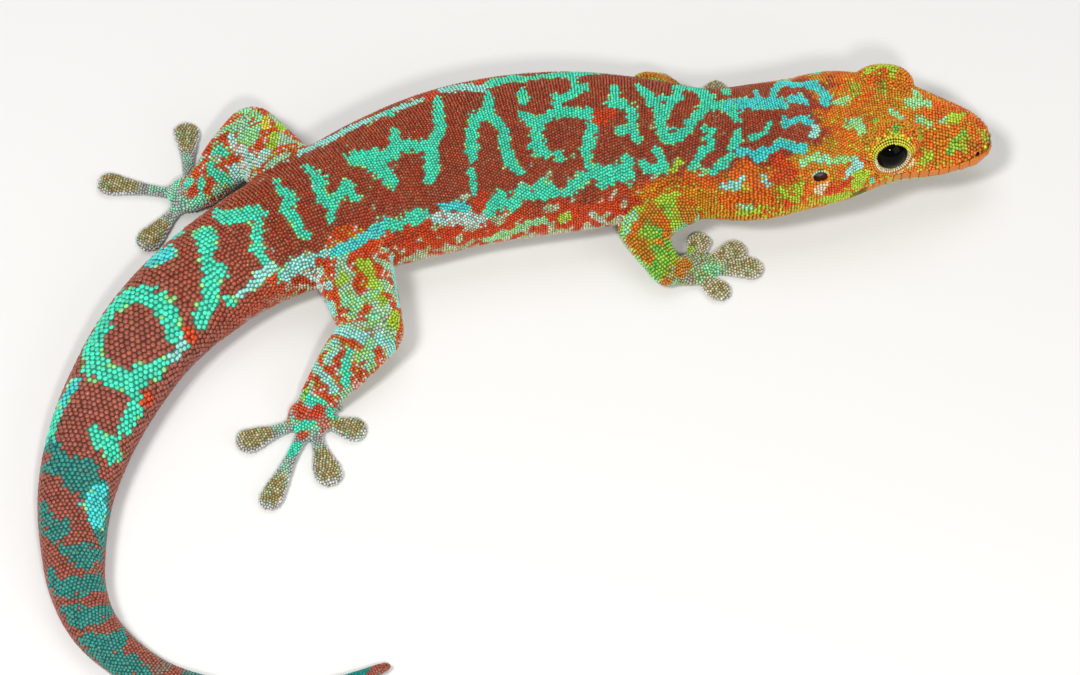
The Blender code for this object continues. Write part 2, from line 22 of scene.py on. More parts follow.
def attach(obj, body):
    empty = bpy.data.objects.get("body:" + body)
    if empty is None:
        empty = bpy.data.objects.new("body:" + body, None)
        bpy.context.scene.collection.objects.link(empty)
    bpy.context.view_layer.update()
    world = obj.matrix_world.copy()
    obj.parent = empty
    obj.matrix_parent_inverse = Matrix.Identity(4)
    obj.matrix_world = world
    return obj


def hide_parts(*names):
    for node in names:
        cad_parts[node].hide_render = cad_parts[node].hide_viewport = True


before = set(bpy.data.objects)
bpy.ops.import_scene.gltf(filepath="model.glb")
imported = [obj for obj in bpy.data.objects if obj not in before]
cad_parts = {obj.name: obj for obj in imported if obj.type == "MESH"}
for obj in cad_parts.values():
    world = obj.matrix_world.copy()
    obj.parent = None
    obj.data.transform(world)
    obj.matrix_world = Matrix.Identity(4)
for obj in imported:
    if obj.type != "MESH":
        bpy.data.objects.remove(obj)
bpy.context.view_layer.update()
print("packed solids:", len(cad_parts), "pieces")

# %% [markdown]
# The drawing's units and the camera.
#
# All the sizes below are millimetres of the living animal, in the drawing that the solids come from. One
# step moves them to metres with the model's middle over the origin. The camera looks down at the animal's
# right side from half way up, as the photographer did, and one pixel of that photograph spans 0.097 mm.

# %% The drawing's frame and the camera
MM = 0.001
CENTRE = np.array([-1.31, -2.38, 0.0])
PIXEL = 0.097
PHOTO_WIDTH, PHOTO_HEIGHT = 1080, 675
CAMERA_DISTANCE = 520.0
CAMERA_HEIGHT_ANGLE = math.radians(52.0)
CAMERA_TARGET = np.array([0.0, 0.0, 4.0])
SENSOR_WIDTH = 36.0
CAMERA_BACK = np.array([0.0, -math.cos(CAMERA_HEIGHT_ANGLE), math.sin(CAMERA_HEIGHT_ANGLE)])
CAMERA_UP = np.array([0.0, math.sin(CAMERA_HEIGHT_ANGLE), math.cos(CAMERA_HEIGHT_ANGLE)])
CAMERA_PLACE = CAMERA_TARGET + CAMERA_BACK * CAMERA_DISTANCE


def metres(points):
    """Points of the drawing, moved to the model's frame."""
    return (np.asarray(points, float) - CENTRE) * MM


def photo_ray(x, y):
    """The direction from the camera through one pixel of the photograph."""
    right = (x - PHOTO_WIDTH / 2) * PIXEL
    up = (PHOTO_HEIGHT / 2 - y) * PIXEL
    ray = np.array([right, 0.0, 0.0]) + CAMERA_UP * up - CAMERA_BACK * CAMERA_DISTANCE
    return ray / np.linalg.norm(ray)


camera_data = bpy.data.cameras.new("camera")
camera_data.sensor_width = SENSOR_WIDTH
camera_data.lens = SENSOR_WIDTH * CAMERA_DISTANCE / (PIXEL * PHOTO_WIDTH)
camera_data.clip_start = 0.01
camera_data.clip_end = 20.0
camera = bpy.data.objects.new("camera", camera_data)
camera.location = metres(CAMERA_PLACE)
camera.rotation_euler = (math.pi / 2 - CAMERA_HEIGHT_ANGLE, 0.0, 0.0)
bpy.context.scene.collection.objects.link(camera)
bpy.context.scene.camera = camera
print("lens:", round(camera_data.lens, 1), "mm")

# %% [markdown]
# The body's measurements.
#
# These are the same named sections, limbs and toes as in the solids, so the skin follows the same form. Each
# section of the body is its centre, its half width, and its height above and depth below that centre.

# %% Sections along the back
BODY_LINE = {
    "snout": (45.0, 24.3, 4.85, 3.2, 2.05, 1.4),
    "nostrils": (42.6, 24.2, 5.35, 3.5, 2.1, 1.8),
    "muzzle": (39.6, 24.1, 6.0, 4.5, 2.7, 2.95),
    "eyes": (34.9, 24.15, 6.8, 5.5, 3.95, 4.3),
    "jaw": (30.0, 23.65, 6.8, 7.2, 4.25, 4.4),
    "nape": (25.6, 22.7, 6.4, 7.4, 4.4, 4.5),
    "neck": (20.8, 22.0, 5.9, 7.6, 4.7, 4.9),
    "shoulders": (15.6, 22.3, 5.5, 7.0, 5.0, 5.3),
    "chest": (10.9, 22.8, 5.4, 7.6, 5.3, 5.5),
    "ribs": (5.5, 22.8, 5.3, 8.7, 5.5, 5.6),
    "middle": (-1.0, 22.2, 5.3, 9.2, 5.6, 5.7),
    "belly": (-8.0, 20.7, 5.2, 9.1, 5.5, 5.6),
    "loin": (-14.5, 18.1, 5.0, 8.5, 5.3, 5.4),
    "hips": (-20.7, 15.1, 4.7, 7.4, 4.9, 5.1),
    "pelvis": (-24.8, 12.9, 4.4, 6.7, 4.5, 4.7),
    "vent": (-28.8, 10.4, 4.1, 6.2, 4.2, 4.3),
    "tail_root": (-33.6, 6.1, 3.8, 5.7, 4.0, 4.0),
    "tail_1": (-37.8, 0.7, 3.6, 5.2, 3.75, 3.8),
    "tail_2": (-40.7, -5.1, 3.35, 4.75, 3.5, 3.5),
    "tail_3": (-42.9, -11.3, 3.1, 4.3, 3.25, 3.25),
    "tail_4": (-44.2, -18.7, 2.75, 3.65, 2.85, 2.9),
    "tail_5": (-44.1, -23.7, 2.5, 3.2, 2.6, 2.65),
    "tail_6": (-43.4, -28.7, 2.2, 2.75, 2.3, 2.35),
    "tail_7": (-41.6, -32.9, 1.95, 2.4, 2.05, 2.1),
    "tail_8": (-39.1, -35.7, 1.75, 2.15, 1.85, 1.9),
    "tail_9": (-35.4, -38.3, 1.5, 1.95, 1.6, 1.65),
    "tail_10": (-30.4, -39.8, 1.3, 1.7, 1.35, 1.45),
    "tail_11": (-24.8, -40.2, 1.05, 1.35, 1.1, 1.2),
    "tail_12": (-19.0, -38.6, 0.85, 1.0, 0.9, 0.95),
    "tail_tip": (-13.6, -36.0, 0.7, 0.65, 0.65, 0.7),
}
SNOUT_ROUND = 3.4
TIP_ROUND = 0.9
SIDE_FULLNESS = 2.15
BELLY_FULLNESS = 2.5
COAT = 0.12  # the depth of the scales: the skin lies this far inside the solids
BODY = np.array(list(BODY_LINE.values()))
BODY_KNOTS = np.concatenate([[0.0], np.cumsum(np.linalg.norm(np.diff(BODY[:, :3], axis=0), axis=1))])
BODY_LENGTH = float(BODY_KNOTS[-1])
print("snout to tail tip:", round(BODY_LENGTH, 1), "mm")

# %% Eyes, mouth, ears and nostrils
EYE_ALONG = 11.0
EYE_SIDE = 3.95
EYE_RISE = 1.6
EYE_RADIUS = 1.95
EYE_OPENING = 1.62
EYE_LOOK_UP = math.radians(16.0)
EYE_LOOK_FORWARD = math.radians(8.0)
LID_MOUND = (2.75, 2.6, 2.0)
ORBIT_SIZE = (3.3, 2.25, 2.2)
ORBIT_SIDE = 3.55
ORBIT_RISE = 2.5
MOUTH_CORNER = 14.6
MOUTH_FRONT = 0.9
MOUTH_TIP = (0.45, 0.15)
MOUTH_ANGLE = math.radians(24.0)
MOUTH_TURN_UNDER = math.radians(46.0)
MOUTH_TURN_REACH = 2.0
MOUTH_GROOVE = 0.2
EAR_ALONG = 19.1
EAR_ANGLE = math.radians(28.0)
EAR_SIZE = (0.75, 0.5)
EAR_DEPTH = 0.75
NOSTRIL_ALONG = 1.7
NOSTRIL_ANGLE = math.radians(20.0)
NOSTRIL_RADIUS = 0.3

# %% Limbs, palms and toes
LIMBS = {
    "right_arm": ((16.6, 18.2, 4.7), (9.7, 13.6, 4.0), (12.4, 10.1, 1.8), (2.3, 2.2, 1.6)),
    "left_arm": ((16.4, 26.4, 4.7), (10.7, 31.2, 4.2), (13.6, 32.6, 1.8), (2.3, 2.15, 1.5)),
    "right_leg": ((-19.6, 12.8, 4.9), (-16.2, 1.0, 3.9), (-21.6, -6.1, 1.9), (4.3, 3.1, 1.85)),
    "left_leg": ((-23.8, 17.4, 4.8), (-28.7, 25.6, 4.1), (-33.5, 20.5, 1.95), (3.7, 2.95, 1.95)),
}
# The palm's centre and half sizes, then each toe: the middle of its pad, the half width and half length.
FEET = {
    "right_arm": (
        (14.9, 11.1),
        (2.6, 1.9, 0.95),
        (
            (15.7, 14.3, 1.3, 1.7),
            (18.8, 13.4, 1.35, 1.9),
            (20.3, 11.4, 1.45, 1.9),
            (17.2, 9.0, 1.35, 1.9),
            (13.1, 13.0, 0.45, 0.6),
        ),
    ),
    "left_arm": (
        (15.1, 32.7),
        (2.4, 1.9, 0.95),
        (
            (12.6, 35.3, 1.3, 1.8),
            (17.4, 34.3, 1.35, 1.8),
            (20.0, 32.4, 1.4, 1.9),
            (18.9, 29.9, 1.3, 1.7),
            (14.6, 30.4, 0.45, 0.6),
        ),
    ),
    "right_leg": (
        (-22.2, -7.3),
        (2.4, 2.3, 1.1),
        (
            (-27.6, -9.7, 1.55, 1.9),
            (-25.5, -16.2, 1.45, 2.3),
            (-20.5, -13.2, 1.55, 2.2),
            (-18.4, -8.4, 1.5, 1.8),
            (-19.5, -5.9, 0.45, 0.6),
        ),
    ),
    "left_leg": (
        (-35.0, 20.6),
        (2.3, 2.3, 1.1),
        (
            (-35.6, 28.4, 1.45, 2.2),
            (-42.4, 22.1, 1.5, 2.3),
            (-38.4, 15.6, 1.5, 2.1),
            (-31.6, 25.6, 1.3, 1.7),
            (-33.2, 23.6, 0.45, 0.6),
        ),
    ),
}
TOE_WIDTH = 0.78
TOE_THICKNESS = 1.2
PAD_THICKNESS = 1.15
STUMP_THICKNESS = 1.0
STALK_SHARE = 0.85
PAD_PROFILE = ((0.3, 0.82, 1.0), (0.55, 1.0, 1.0), (0.78, 0.93, 1.0), (0.93, 0.6, 0.75))
LIMB_FULLNESS = (1.04, 1.09)
TOE_MIDDLE = 0.475
NARROWEST_PAD = 0.6
TOE_POINT = (0.05, 0.3)
THINNEST = 0.03
SHIN_RISE = 0.25
HEEL_TAPER = (0.98, 0.9, 0.7)
PALM_RISE = 0.85
print("toes:", sum(len(pads) for _, _, pads in FEET.values()))

# %% [markdown]
# Surfaces as rows of rings.
#
# Every form of the clay is a surface with two directions, along it and round it. A body section is a
# squared ellipse, a limb is a round tube through three joints, and a toe is a flattened tube that widens
# into its pad. One function gives the points of each, because they are used twice: first to make the clay,
# then to lay the rows of scales.

# %% Smooth curves and the body
def smooth_through(knots, values, at):
    """A smooth curve through the values at the knots, read at the places `at`."""
    knots = np.asarray(knots, float)
    values = np.asarray(values, float)
    steps = np.diff(knots)[:, None]
    chords = np.diff(values, axis=0) / steps
    slopes = np.empty_like(values)
    slopes[0] = chords[0]
    slopes[-1] = chords[-1]
    slopes[1:-1] = (chords[:-1] * steps[1:] + chords[1:] * steps[:-1]) / (steps[1:] + steps[:-1])
    at = np.clip(np.atleast_1d(np.asarray(at, float)), knots[0], knots[-1])
    cell = np.clip(np.searchsorted(knots, at, side="right") - 1, 0, len(knots) - 2)
    step = steps[cell]
    t = ((at - knots[cell]) / step[:, 0])[:, None]
    start = (1 + 2 * t) * (1 - t) ** 2 * values[cell] + t * (1 - t) ** 2 * step * slopes[cell]
    end = t**2 * (3 - 2 * t) * values[cell + 1] + t**2 * (t - 1) * step * slopes[cell + 1]
    return start + end


def round_end(distance, reach):
    """1 along a body, falling to 0 as a quarter ellipse over the last stretch before its end."""
    inward = np.clip(distance / reach, 0.0, 1.0)
    return np.sqrt(np.clip(1.0 - (1.0 - inward) ** 2, 0.0, 1.0))


def body_frames(along):
    """Centres, directions to the left and section sizes at distances along the back line."""
    read = smooth_through(BODY_KNOTS, BODY, along)
    nudge = 0.25
    ahead = smooth_through(BODY_KNOTS, BODY, np.asarray(along) - nudge)[:, :2]
    behind = smooth_through(BODY_KNOTS, BODY, np.asarray(along) + nudge)[:, :2]
    forward = ahead - behind
    forward /= np.linalg.norm(forward, axis=1)[:, None]
    left = np.stack([-forward[:, 1], forward[:, 0], np.zeros(len(forward))], axis=1)
    return read[:, :3], left, read[:, 3:]


def body_points(along, angles, grow=-COAT):
    """Points on the body, a row for each distance along it. Angle 0 is its left, 90 degrees its back."""
    along = np.atleast_1d(np.asarray(along, float))
    centres, left, sizes = body_frames(along)
    taper = round_end(along, SNOUT_ROUND) * round_end(BODY_LENGTH - along, TIP_ROUND)
    cosine = np.cos(angles)
    sine = np.sin(angles)
    fullness = np.where(sine >= 0, SIDE_FULLNESS, BELLY_FULLNESS)
    side = np.sign(cosine) * np.abs(cosine) ** (2 / fullness)
    rise = np.sign(sine) * np.abs(sine) ** (2 / fullness)
    half_width, above, below = np.maximum(sizes * taper[:, None] + grow, 0.02).T[:, :, None]
    points = centres[:, None, :] + left[:, None, :] * (half_width * side)[..., None]
    points[..., 2] += np.where(sine >= 0, above, below) * rise
    return points


def skin_point(along, angle, lift=0.0):
    """One point on the body, lifted off it by `lift` away from the section's centre."""
    point = body_points([along], np.array([angle]))[0, 0]
    outward = point - body_frames([along])[0][0]
    return point + outward / np.linalg.norm(outward) * lift


def turns(count):
    """Evenly spaced angles round a circle."""
    return np.arange(count) * (2 * math.pi / count)


# %% Limbs and toes
UP = np.array([0.0, 0.0, 1.0])


def unit(vector):
    return vector / np.linalg.norm(vector, axis=-1, keepdims=True)


def tube_frames(points, radii, along):
    """Centres, directions ahead and radii of a tube, at shares of its length."""
    points = np.asarray(points, float)
    knots = np.concatenate([[0.0], np.cumsum(np.linalg.norm(np.diff(points, axis=0), axis=1))])
    places = np.asarray(along) * knots[-1]
    centres = smooth_through(knots, points, places)
    wide = smooth_through(knots, np.asarray(radii, float)[:, None], places)[:, 0]
    nudge = 0.01 * knots[-1]
    ahead = smooth_through(knots, points, places + nudge) - smooth_through(knots, points, places - nudge)
    return centres, unit(ahead), wide, knots[-1]


def tube_points(points, radii, along, angles, grow=-COAT):
    """Points on a tube, a row for each share of its length."""
    centres, ahead, wide, _ = tube_frames(points, radii, along)
    side = unit(np.cross(UP, ahead))
    up = np.cross(ahead, side)
    circle = np.cos(angles)[None, :, None] * side[:, None] + np.sin(angles)[None, :, None] * up[:, None]
    return centres[:, None] + circle * (wide + grow)[:, None, None]


def limb_paths(limb):
    """The joints and radii of a limb's two lengths."""
    root, middle, end, radii = LIMBS[limb]
    root, middle, end = (np.array(point) for point in (root, middle, end))
    upper = [root, (root + middle) / 2, middle]
    lower = [middle, (middle + end) / 2 + UP * SHIN_RISE, end]
    upper_radii = [radii[0], (radii[0] + radii[1]) / 2 * LIMB_FULLNESS[0], radii[1]]
    lower_radii = [radii[1], (radii[1] + radii[2]) / 2 * LIMB_FULLNESS[1], radii[2]]
    return (upper, upper_radii), (lower, lower_radii)


def palm_frame(limb):
    """The centre of a palm and its direction ahead."""
    palm, sizes, _ = FEET[limb]
    centre = np.array([*palm, sizes[2] * PALM_RISE])
    return centre, unit((centre - np.array(LIMBS[limb][2])) * (1, 1, 0))


def heel_path(limb):
    """The short length from the wrist or ankle into the palm."""
    _, _, wrist, radii = LIMBS[limb]
    centre, _ = palm_frame(limb)
    return [np.array(wrist), (np.array(wrist) + centre) / 2, centre], radii[2] * np.array(HEEL_TAPER)


def toe_sections(palm, pad):
    """Distances from the palm with a toe's half width and thickness there, and its direction and length."""
    x, y, half_width, half_length = pad
    start, middle = np.array(palm), np.array([x, y])
    ahead = unit(middle - start)
    stalk = min(half_width, TOE_WIDTH)
    pad_start = np.linalg.norm(middle - start) - half_length
    thickness = STUMP_THICKNESS if half_width < TOE_WIDTH else TOE_THICKNESS
    sections = [(0.0, stalk, thickness), (pad_start * STALK_SHARE, stalk, thickness)]
    for share, width, flatness in PAD_PROFILE:
        thick = min(PAD_THICKNESS * flatness, thickness)
        wide = max(half_width * width, stalk * NARROWEST_PAD)
        sections.append((pad_start + 2 * half_length * share, wide, thick))
    length = pad_start + 2 * half_length
    sections.append((length, TOE_POINT[0], thickness * TOE_POINT[1]))
    return np.array(sections), ahead, length


def toe_points(palm, pad, along, angles, grow=-COAT):
    """Points on a toe, a row for each share of its length."""
    sections, ahead, length = toe_sections(palm, pad)
    read = smooth_through(sections[:, 0], sections[:, 1:], np.asarray(along) * length)
    side = np.array([-ahead[1], ahead[0], 0.0])
    width = np.maximum(read[:, 0] + grow, THINNEST)[:, None] * np.cos(angles)
    half = np.maximum(read[:, 1] / 2 + grow, THINNEST)[:, None]
    centres = np.array([*palm, 0.0]) + np.array([*ahead, 0.0]) * (np.asarray(along) * length)[:, None]
    points = centres[:, None] + side * width[..., None]
    points[..., 2] = read[:, 1:2] * TOE_MIDDLE + np.sin(angles) * half
    return points


# %% [markdown]
# The clay.
#
# The forms are gathered as closed shapes that run into each other, and a voxel remesh then melts them into
# one surface. A union of solids would do the same and leave a crease at each joint, but a living leg flows
# into the hip, so the remesh is followed by a smoothing that is strong where limbs meet the trunk and weak
# on the face and toes.

# %% Gather the forms
CAP_TURNS = np.radians((22.0, 45.0, 68.0))
BODY_SIDES = 80
BODY_RING_STEP = 0.6
FIRST_RINGS = (0.06, 0.2, 0.4)
RINGS_START = 0.7
RINGS_END = 0.3
LAST_RING = 0.15
TOE_SIDES = 24
TOE_RINGS = 26
TOE_END = 0.985


def add_shape(clay, rings, start_pole, end_pole):
    """Adds rings of points to the clay as one closed shape with a pole at each end."""
    rows = [[clay.verts.new(point) for point in ring] for ring in rings]
    for row, after in zip(rows, rows[1:]):
        for i in range(len(row)):
            j = (i + 1) % len(row)
            clay.faces.new((row[i], row[j], after[j], after[i]))
    for pole, row in ((start_pole, rows[0]), (end_pole, rows[-1])):
        tip = clay.verts.new(pole)
        for i in range(len(row)):
            clay.faces.new((row[i], row[(i + 1) % len(row)], tip))


def add_ball(clay, centre, axes, sizes, around=40, rows=20):
    """A ball stretched along three axes."""
    circle = np.stack([np.cos(turns(around)), np.sin(turns(around)), np.zeros(around)], axis=1)
    tilts = np.arange(1, rows) * math.pi / rows
    shell = np.array([circle * math.sin(tilt) + UP * math.cos(tilt) for tilt in tilts])
    axes = np.asarray(axes)
    sizes = np.asarray(sizes)
    poles = centre + np.array([axes[2], -axes[2]]) * sizes[2]
    add_shape(clay, centre + (shell * sizes) @ axes, *poles)


def add_tube(clay, points, radii, sides=32, spacing=0.5, grow=-COAT):
    """A tube with rounded ends."""
    centres, ahead, wide, length = tube_frames(points, radii, [0.0, 1.0])
    shares = np.linspace(0, 1, int(length / spacing) + 2)
    rings = list(tube_points(points, radii, shares, turns(sides), grow))
    first, last = tube_points(points, radii, [0.0, 1.0], turns(sides), grow)
    radius = wide + grow
    for turn in CAP_TURNS:
        low = centres[0] + (first - centres[0]) * math.cos(turn) - ahead[0] * radius[0] * math.sin(turn)
        high = centres[1] + (last - centres[1]) * math.cos(turn) + ahead[1] * radius[1] * math.sin(turn)
        rings = [low, *rings, high]
    add_shape(clay, rings, centres[0] - ahead[0] * radius[0], centres[1] + ahead[1] * radius[1])


def head_axes(along):
    """The centre of a section, with the directions to the front, to the left and up."""
    centres, left, _ = body_frames([along])
    left = left[0]
    return centres[0], np.array([left[1], -left[0], 0.0]), left, UP


def eye_frame(side):
    """Centre of an eyeball and its axes, the last looking out. Side is 1 on the left, -1 on the right."""
    middle, forward, left, up = head_axes(EYE_ALONG)
    centre = middle + left * side * EYE_SIDE + up * EYE_RISE
    out = left * side * math.cos(EYE_LOOK_UP) + up * math.sin(EYE_LOOK_UP)
    out = out * math.cos(EYE_LOOK_FORWARD) + forward * math.sin(EYE_LOOK_FORWARD)
    across = unit(np.cross(up, out))
    return centre, np.array([across, np.cross(out, across), out])


def gather_clay():
    """All the forms of the animal as closed shapes that run into each other."""
    clay = bmesh.new()
    rings = np.arange(RINGS_START, BODY_LENGTH - RINGS_END, BODY_RING_STEP)
    along = np.concatenate([FIRST_RINGS, rings, [BODY_LENGTH - LAST_RING]])
    poles = body_frames([0.0, BODY_LENGTH])[0]
    add_shape(clay, body_points(along, turns(BODY_SIDES)), poles[0], poles[1])
    for side in (-1, 1):
        middle, forward, left, up = head_axes(EYE_ALONG)
        orbit = middle + left * side * ORBIT_SIDE + up * ORBIT_RISE
        add_ball(clay, orbit, (forward, left, up), np.array(ORBIT_SIZE) - COAT)
        add_ball(clay, *eye_frame(side), np.array(LID_MOUND) - COAT)
    for limb in LIMBS:
        for points, radii in (*limb_paths(limb), heel_path(limb)):
            add_tube(clay, points, radii)
        palm, sizes, pads = FEET[limb]
        centre, ahead = palm_frame(limb)
        add_ball(clay, centre, (ahead, np.cross(UP, ahead), UP), np.array(sizes) - COAT)
        for pad in pads:
            rings = toe_points(palm, pad, np.linspace(0.0, TOE_END, TOE_RINGS), turns(TOE_SIDES))
            add_shape(clay, rings, rings[0].mean(axis=0), rings[-1].mean(axis=0))
    return clay


clay = gather_clay()
for vert in clay.verts:
    vert.co = metres((vert.co.x, vert.co.y, max(vert.co.z, COAT)))
bmesh.ops.recalc_face_normals(clay, faces=clay.faces)
print("clay:", len(clay.verts), "points")

# %% [markdown]
# One skin.
#
# The remesh turns the clay into even quads about a quarter of a millimetre wide, which is a little less
# than one scale. Each point is then drawn towards its neighbours a few times over.

# %% Melt and smooth
VOXEL = 0.285
SMOOTHING_ROUNDS = 14
SMOOTH_TRUNK = 0.5
SMOOTH_HEAD = 0.25
SMOOTH_FEET = 0.12
FOOT_REACH = 9.0
FOOT_HEIGHT = 1.6


def applied(obj):
    """The object's evaluated mesh takes the place of its own, and its modifiers go."""
    graph = bpy.context.evaluated_depsgraph_get()
    result = bpy.data.meshes.new_from_object(obj.evaluated_get(graph))
    obj.modifiers.clear()
    obj.data = result
    return obj


def shown(name, mesh):
    """A new object of the scene with the mesh."""
    obj = bpy.data.objects.new(name, mesh)
    bpy.context.scene.collection.objects.link(obj)
    return obj


def mesh_of(build, name):
    """A smooth mesh in metres from a build in the drawing's millimetres."""
    for vert in build.verts:
        vert.co = metres(vert.co)
    bmesh.ops.recalc_face_normals(build, faces=build.faces)
    mesh = bpy.data.meshes.new(name)
    build.to_mesh(mesh)
    build.free()
    mesh.shade_smooth()
    return mesh


def read_points(mesh):
    """The mesh's points in the drawing's millimetres."""
    points = np.empty(len(mesh.vertices) * 3)
    mesh.vertices.foreach_get("co", points)
    return points.reshape(-1, 3) / MM + CENTRE


def write_points(mesh, points):
    mesh.vertices.foreach_set("co", metres(points).ravel())
    mesh.update()


skin_mesh = bpy.data.meshes.new("skin")
clay.to_mesh(skin_mesh)
clay.free()
skin = shown("skin", skin_mesh)
melt = skin.modifiers.new("melt", "REMESH")
melt.mode = "VOXEL"
melt.voxel_size = VOXEL * MM
applied(skin)


def smoothing_share(points):
    """How freely each point of the skin may be smoothed: little on the head, hands and feet."""
    share = np.full(len(points), SMOOTH_TRUNK)
    head_end = body_frames([EAR_ALONG])[0][0]
    share[points[:, 0] > head_end[0]] = SMOOTH_HEAD
    for palm, _, _ in FEET.values():
        near = np.linalg.norm(points[:, :2] - np.array(palm), axis=1) < FOOT_REACH
        share[near & (points[:, 2] < FOOT_HEIGHT)] = SMOOTH_FEET
    return share


def smoothed(points, edges, rounds, share):
    """Each point moves a share of the way to the mean of its neighbours, round after round."""
    ends = np.concatenate([edges, edges[:, ::-1]])
    counts = np.bincount(ends[:, 0], minlength=len(points))
    for _ in range(rounds):
        sums = [np.bincount(ends[:, 0], points[ends[:, 1], k], len(points)) for k in range(3)]
        mean = np.stack(sums, axis=1) / counts[:, None]
        points = points + (mean - points) * share[:, None]
    return points


edges = np.empty(len(skin.data.edges) * 2, int)
skin.data.edges.foreach_get("vertices", edges)
points = read_points(skin.data)
points = smoothed(points, edges.reshape(-1, 2), SMOOTHING_ROUNDS, smoothing_share(points))
points[:, 2] = np.maximum(points[:, 2], COAT)
write_points(skin.data, points)
print("skin:", len(skin.data.polygons), "quads")

# %% [markdown]
# The openings of the head.
#
# The mouth is a groove that runs from one corner of the jaw round the snout to the other, the eyes sit in
# round sockets, and the ears and nostrils are shallow cups. They are cut after the smoothing, so their
# edges stay crisp. The skin is a closed surface, which lets the fast Manifold solver make all the cuts.

# %% The skin as a surface to measure against
def surface_tree(mesh):
    """A search tree of the mesh's faces, in the drawing's millimetres."""
    return BVHTree.FromPolygons(read_points(mesh).tolist(), [tuple(face.vertices) for face in mesh.polygons])


def onto(tree, places):
    """The nearest points of a surface, with its outward directions there and how far away they were."""
    hits = [tree.find_nearest(place) for place in places]
    return tuple(np.array([hit[field] for hit in hits]) for field in (0, 1, 3))


def mouth_path(lean=0.0):
    """Points along the mouth, from the right corner round the snout to the left one."""
    back = np.concatenate([np.linspace(MOUTH_CORNER, MOUTH_FRONT, 33), MOUTH_TIP])
    turn = MOUTH_TURN_UNDER * np.clip(1.0 - back / MOUTH_TURN_REACH, 0.0, 1.0) ** 2
    angles = MOUTH_ANGLE + lean + turn
    right = [skin_point(*place) for place in zip(back, math.pi + angles)]
    left = [skin_point(*place) for place in zip(back, -angles)]
    return np.array(right + left[::-1])


def side_angle(side, angle):
    """An angle above the left side of the animal, or the same one above its right side."""
    return angle if side > 0 else math.pi - angle


def ear_frame(side):
    """The middle of an ear opening with its directions along, up and out."""
    turn = side_angle(side, EAR_ANGLE)
    rim = skin_point(EAR_ALONG, turn)
    out = unit(rim - skin_point(EAR_ALONG, turn, -1.0))
    along = unit(np.cross(UP, out))
    return rim, np.array([along, np.cross(out, along), out])


skin_tree = surface_tree(skin.data)
MOUTH, MOUTH_OUT, _ = onto(skin_tree, mouth_path())
NOSTRILS = [skin_point(NOSTRIL_ALONG, side_angle(side, NOSTRIL_ANGLE)) for side in (-1, 1)]
NOSTRILS = onto(skin_tree, NOSTRILS)[0]
print("mouth:", round(float(np.linalg.norm(np.diff(MOUTH, axis=0), axis=1).sum()), 1), "mm round")

# %% Cut them
GROOVE_LIFT = 0.02
FOLD_RADIUS = 0.19
FOLD_LIFT = 0.03
FOLD_TAPER = 0.6
SOCKET_GAP = 0.06
BORE_GAP = 0.1
BORE_REACHES = (0.4, 2.0, 4.0)
FINE_TUBE = {"sides": 10, "spacing": 0.3, "grow": 0.0}
# Creases where the limbs and the flank bend, as points in pixels of the photograph.
FOLDS = [
    ((628, 205), (640, 199), (655, 192), (668, 184), (678, 181), (688, 182), (698, 190), (706, 198)),
    ((307, 277), (316, 269), (330, 262)),
    ((368, 250), (390, 244), (408, 238), (425, 232)),
]


def fold_paths():
    """The creases on the skin, just above its surface."""
    paths = []
    for fold in FOLDS:
        hits = [skin_tree.ray_cast(CAMERA_PLACE, photo_ray(*point)) for point in fold]
        paths.append(np.array([hit[0] + hit[1] * FOLD_LIFT for hit in hits if hit[0] is not None]))
    return paths


def gather_cutters():
    """The groove of the mouth, the folds, the eye sockets, the ear cups and the nostrils."""
    cutters = bmesh.new()
    groove = MOUTH + MOUTH_OUT * GROOVE_LIFT
    add_tube(cutters, groove, [MOUTH_GROOVE] * len(groove), **FINE_TUBE)
    for path in fold_paths():
        radii = FOLD_RADIUS * (1 - FOLD_TAPER * abs(np.linspace(-1, 1, len(path))) ** 3)
        add_tube(cutters, path, radii, **FINE_TUBE)
    for side, nostril in zip((-1, 1), NOSTRILS):
        centre, axes = eye_frame(side)
        add_ball(cutters, centre, axes, [EYE_RADIUS + SOCKET_GAP] * 3)
        rim, ear_axes = ear_frame(side)
        add_ball(cutters, rim, ear_axes, (*EAR_SIZE, EAR_DEPTH), around=24, rows=12)
        add_ball(cutters, nostril, np.eye(3), [NOSTRIL_RADIUS] * 3, around=16, rows=10)
    return cutters


def eye_openings():
    """Straight bores in front of the eyeballs, apart from the sockets so that each shape stays simple."""
    bores = bmesh.new()
    for side in (-1, 1):
        centre, axes = eye_frame(side)
        path = [centre + axes[2] * reach for reach in BORE_REACHES]
        add_tube(bores, path, [EYE_OPENING + BORE_GAP] * 3, sides=40, spacing=1.0, grow=0.0)
    return bores


def cut_away(obj, build, name):
    """Takes the build out of the object."""
    cutter = shown(name, mesh_of(build, name))
    boolean = obj.modifiers.new(name, "BOOLEAN")
    boolean.operation = "DIFFERENCE"
    boolean.solver = "MANIFOLD"
    boolean.object = cutter
    applied(obj)
    bpy.data.objects.remove(cutter, do_unlink=True)


skin_tree_whole = skin_tree
cut_away(skin, gather_cutters(), "hollows")
cut_away(skin, eye_openings(), "bores")
skin.data.shade_smooth()
print("skin with its openings:", len(skin.data.polygons), "faces")

# %% [markdown]
# Where the scales stand.
#
# On a day gecko the back is covered with beads of about a third of a millimetre, the belly with larger flat
# scales, and the tail with the largest, in rings. A modifier that scatters points would leave gaps and
# clumps, so the sites are laid as a mason lays cobbles: staggered rows across every form first, then those
# that crowd each other are taken out, gaps are filled, and the rest push each other apart until they lie
# evenly, held down on the skin all the while.

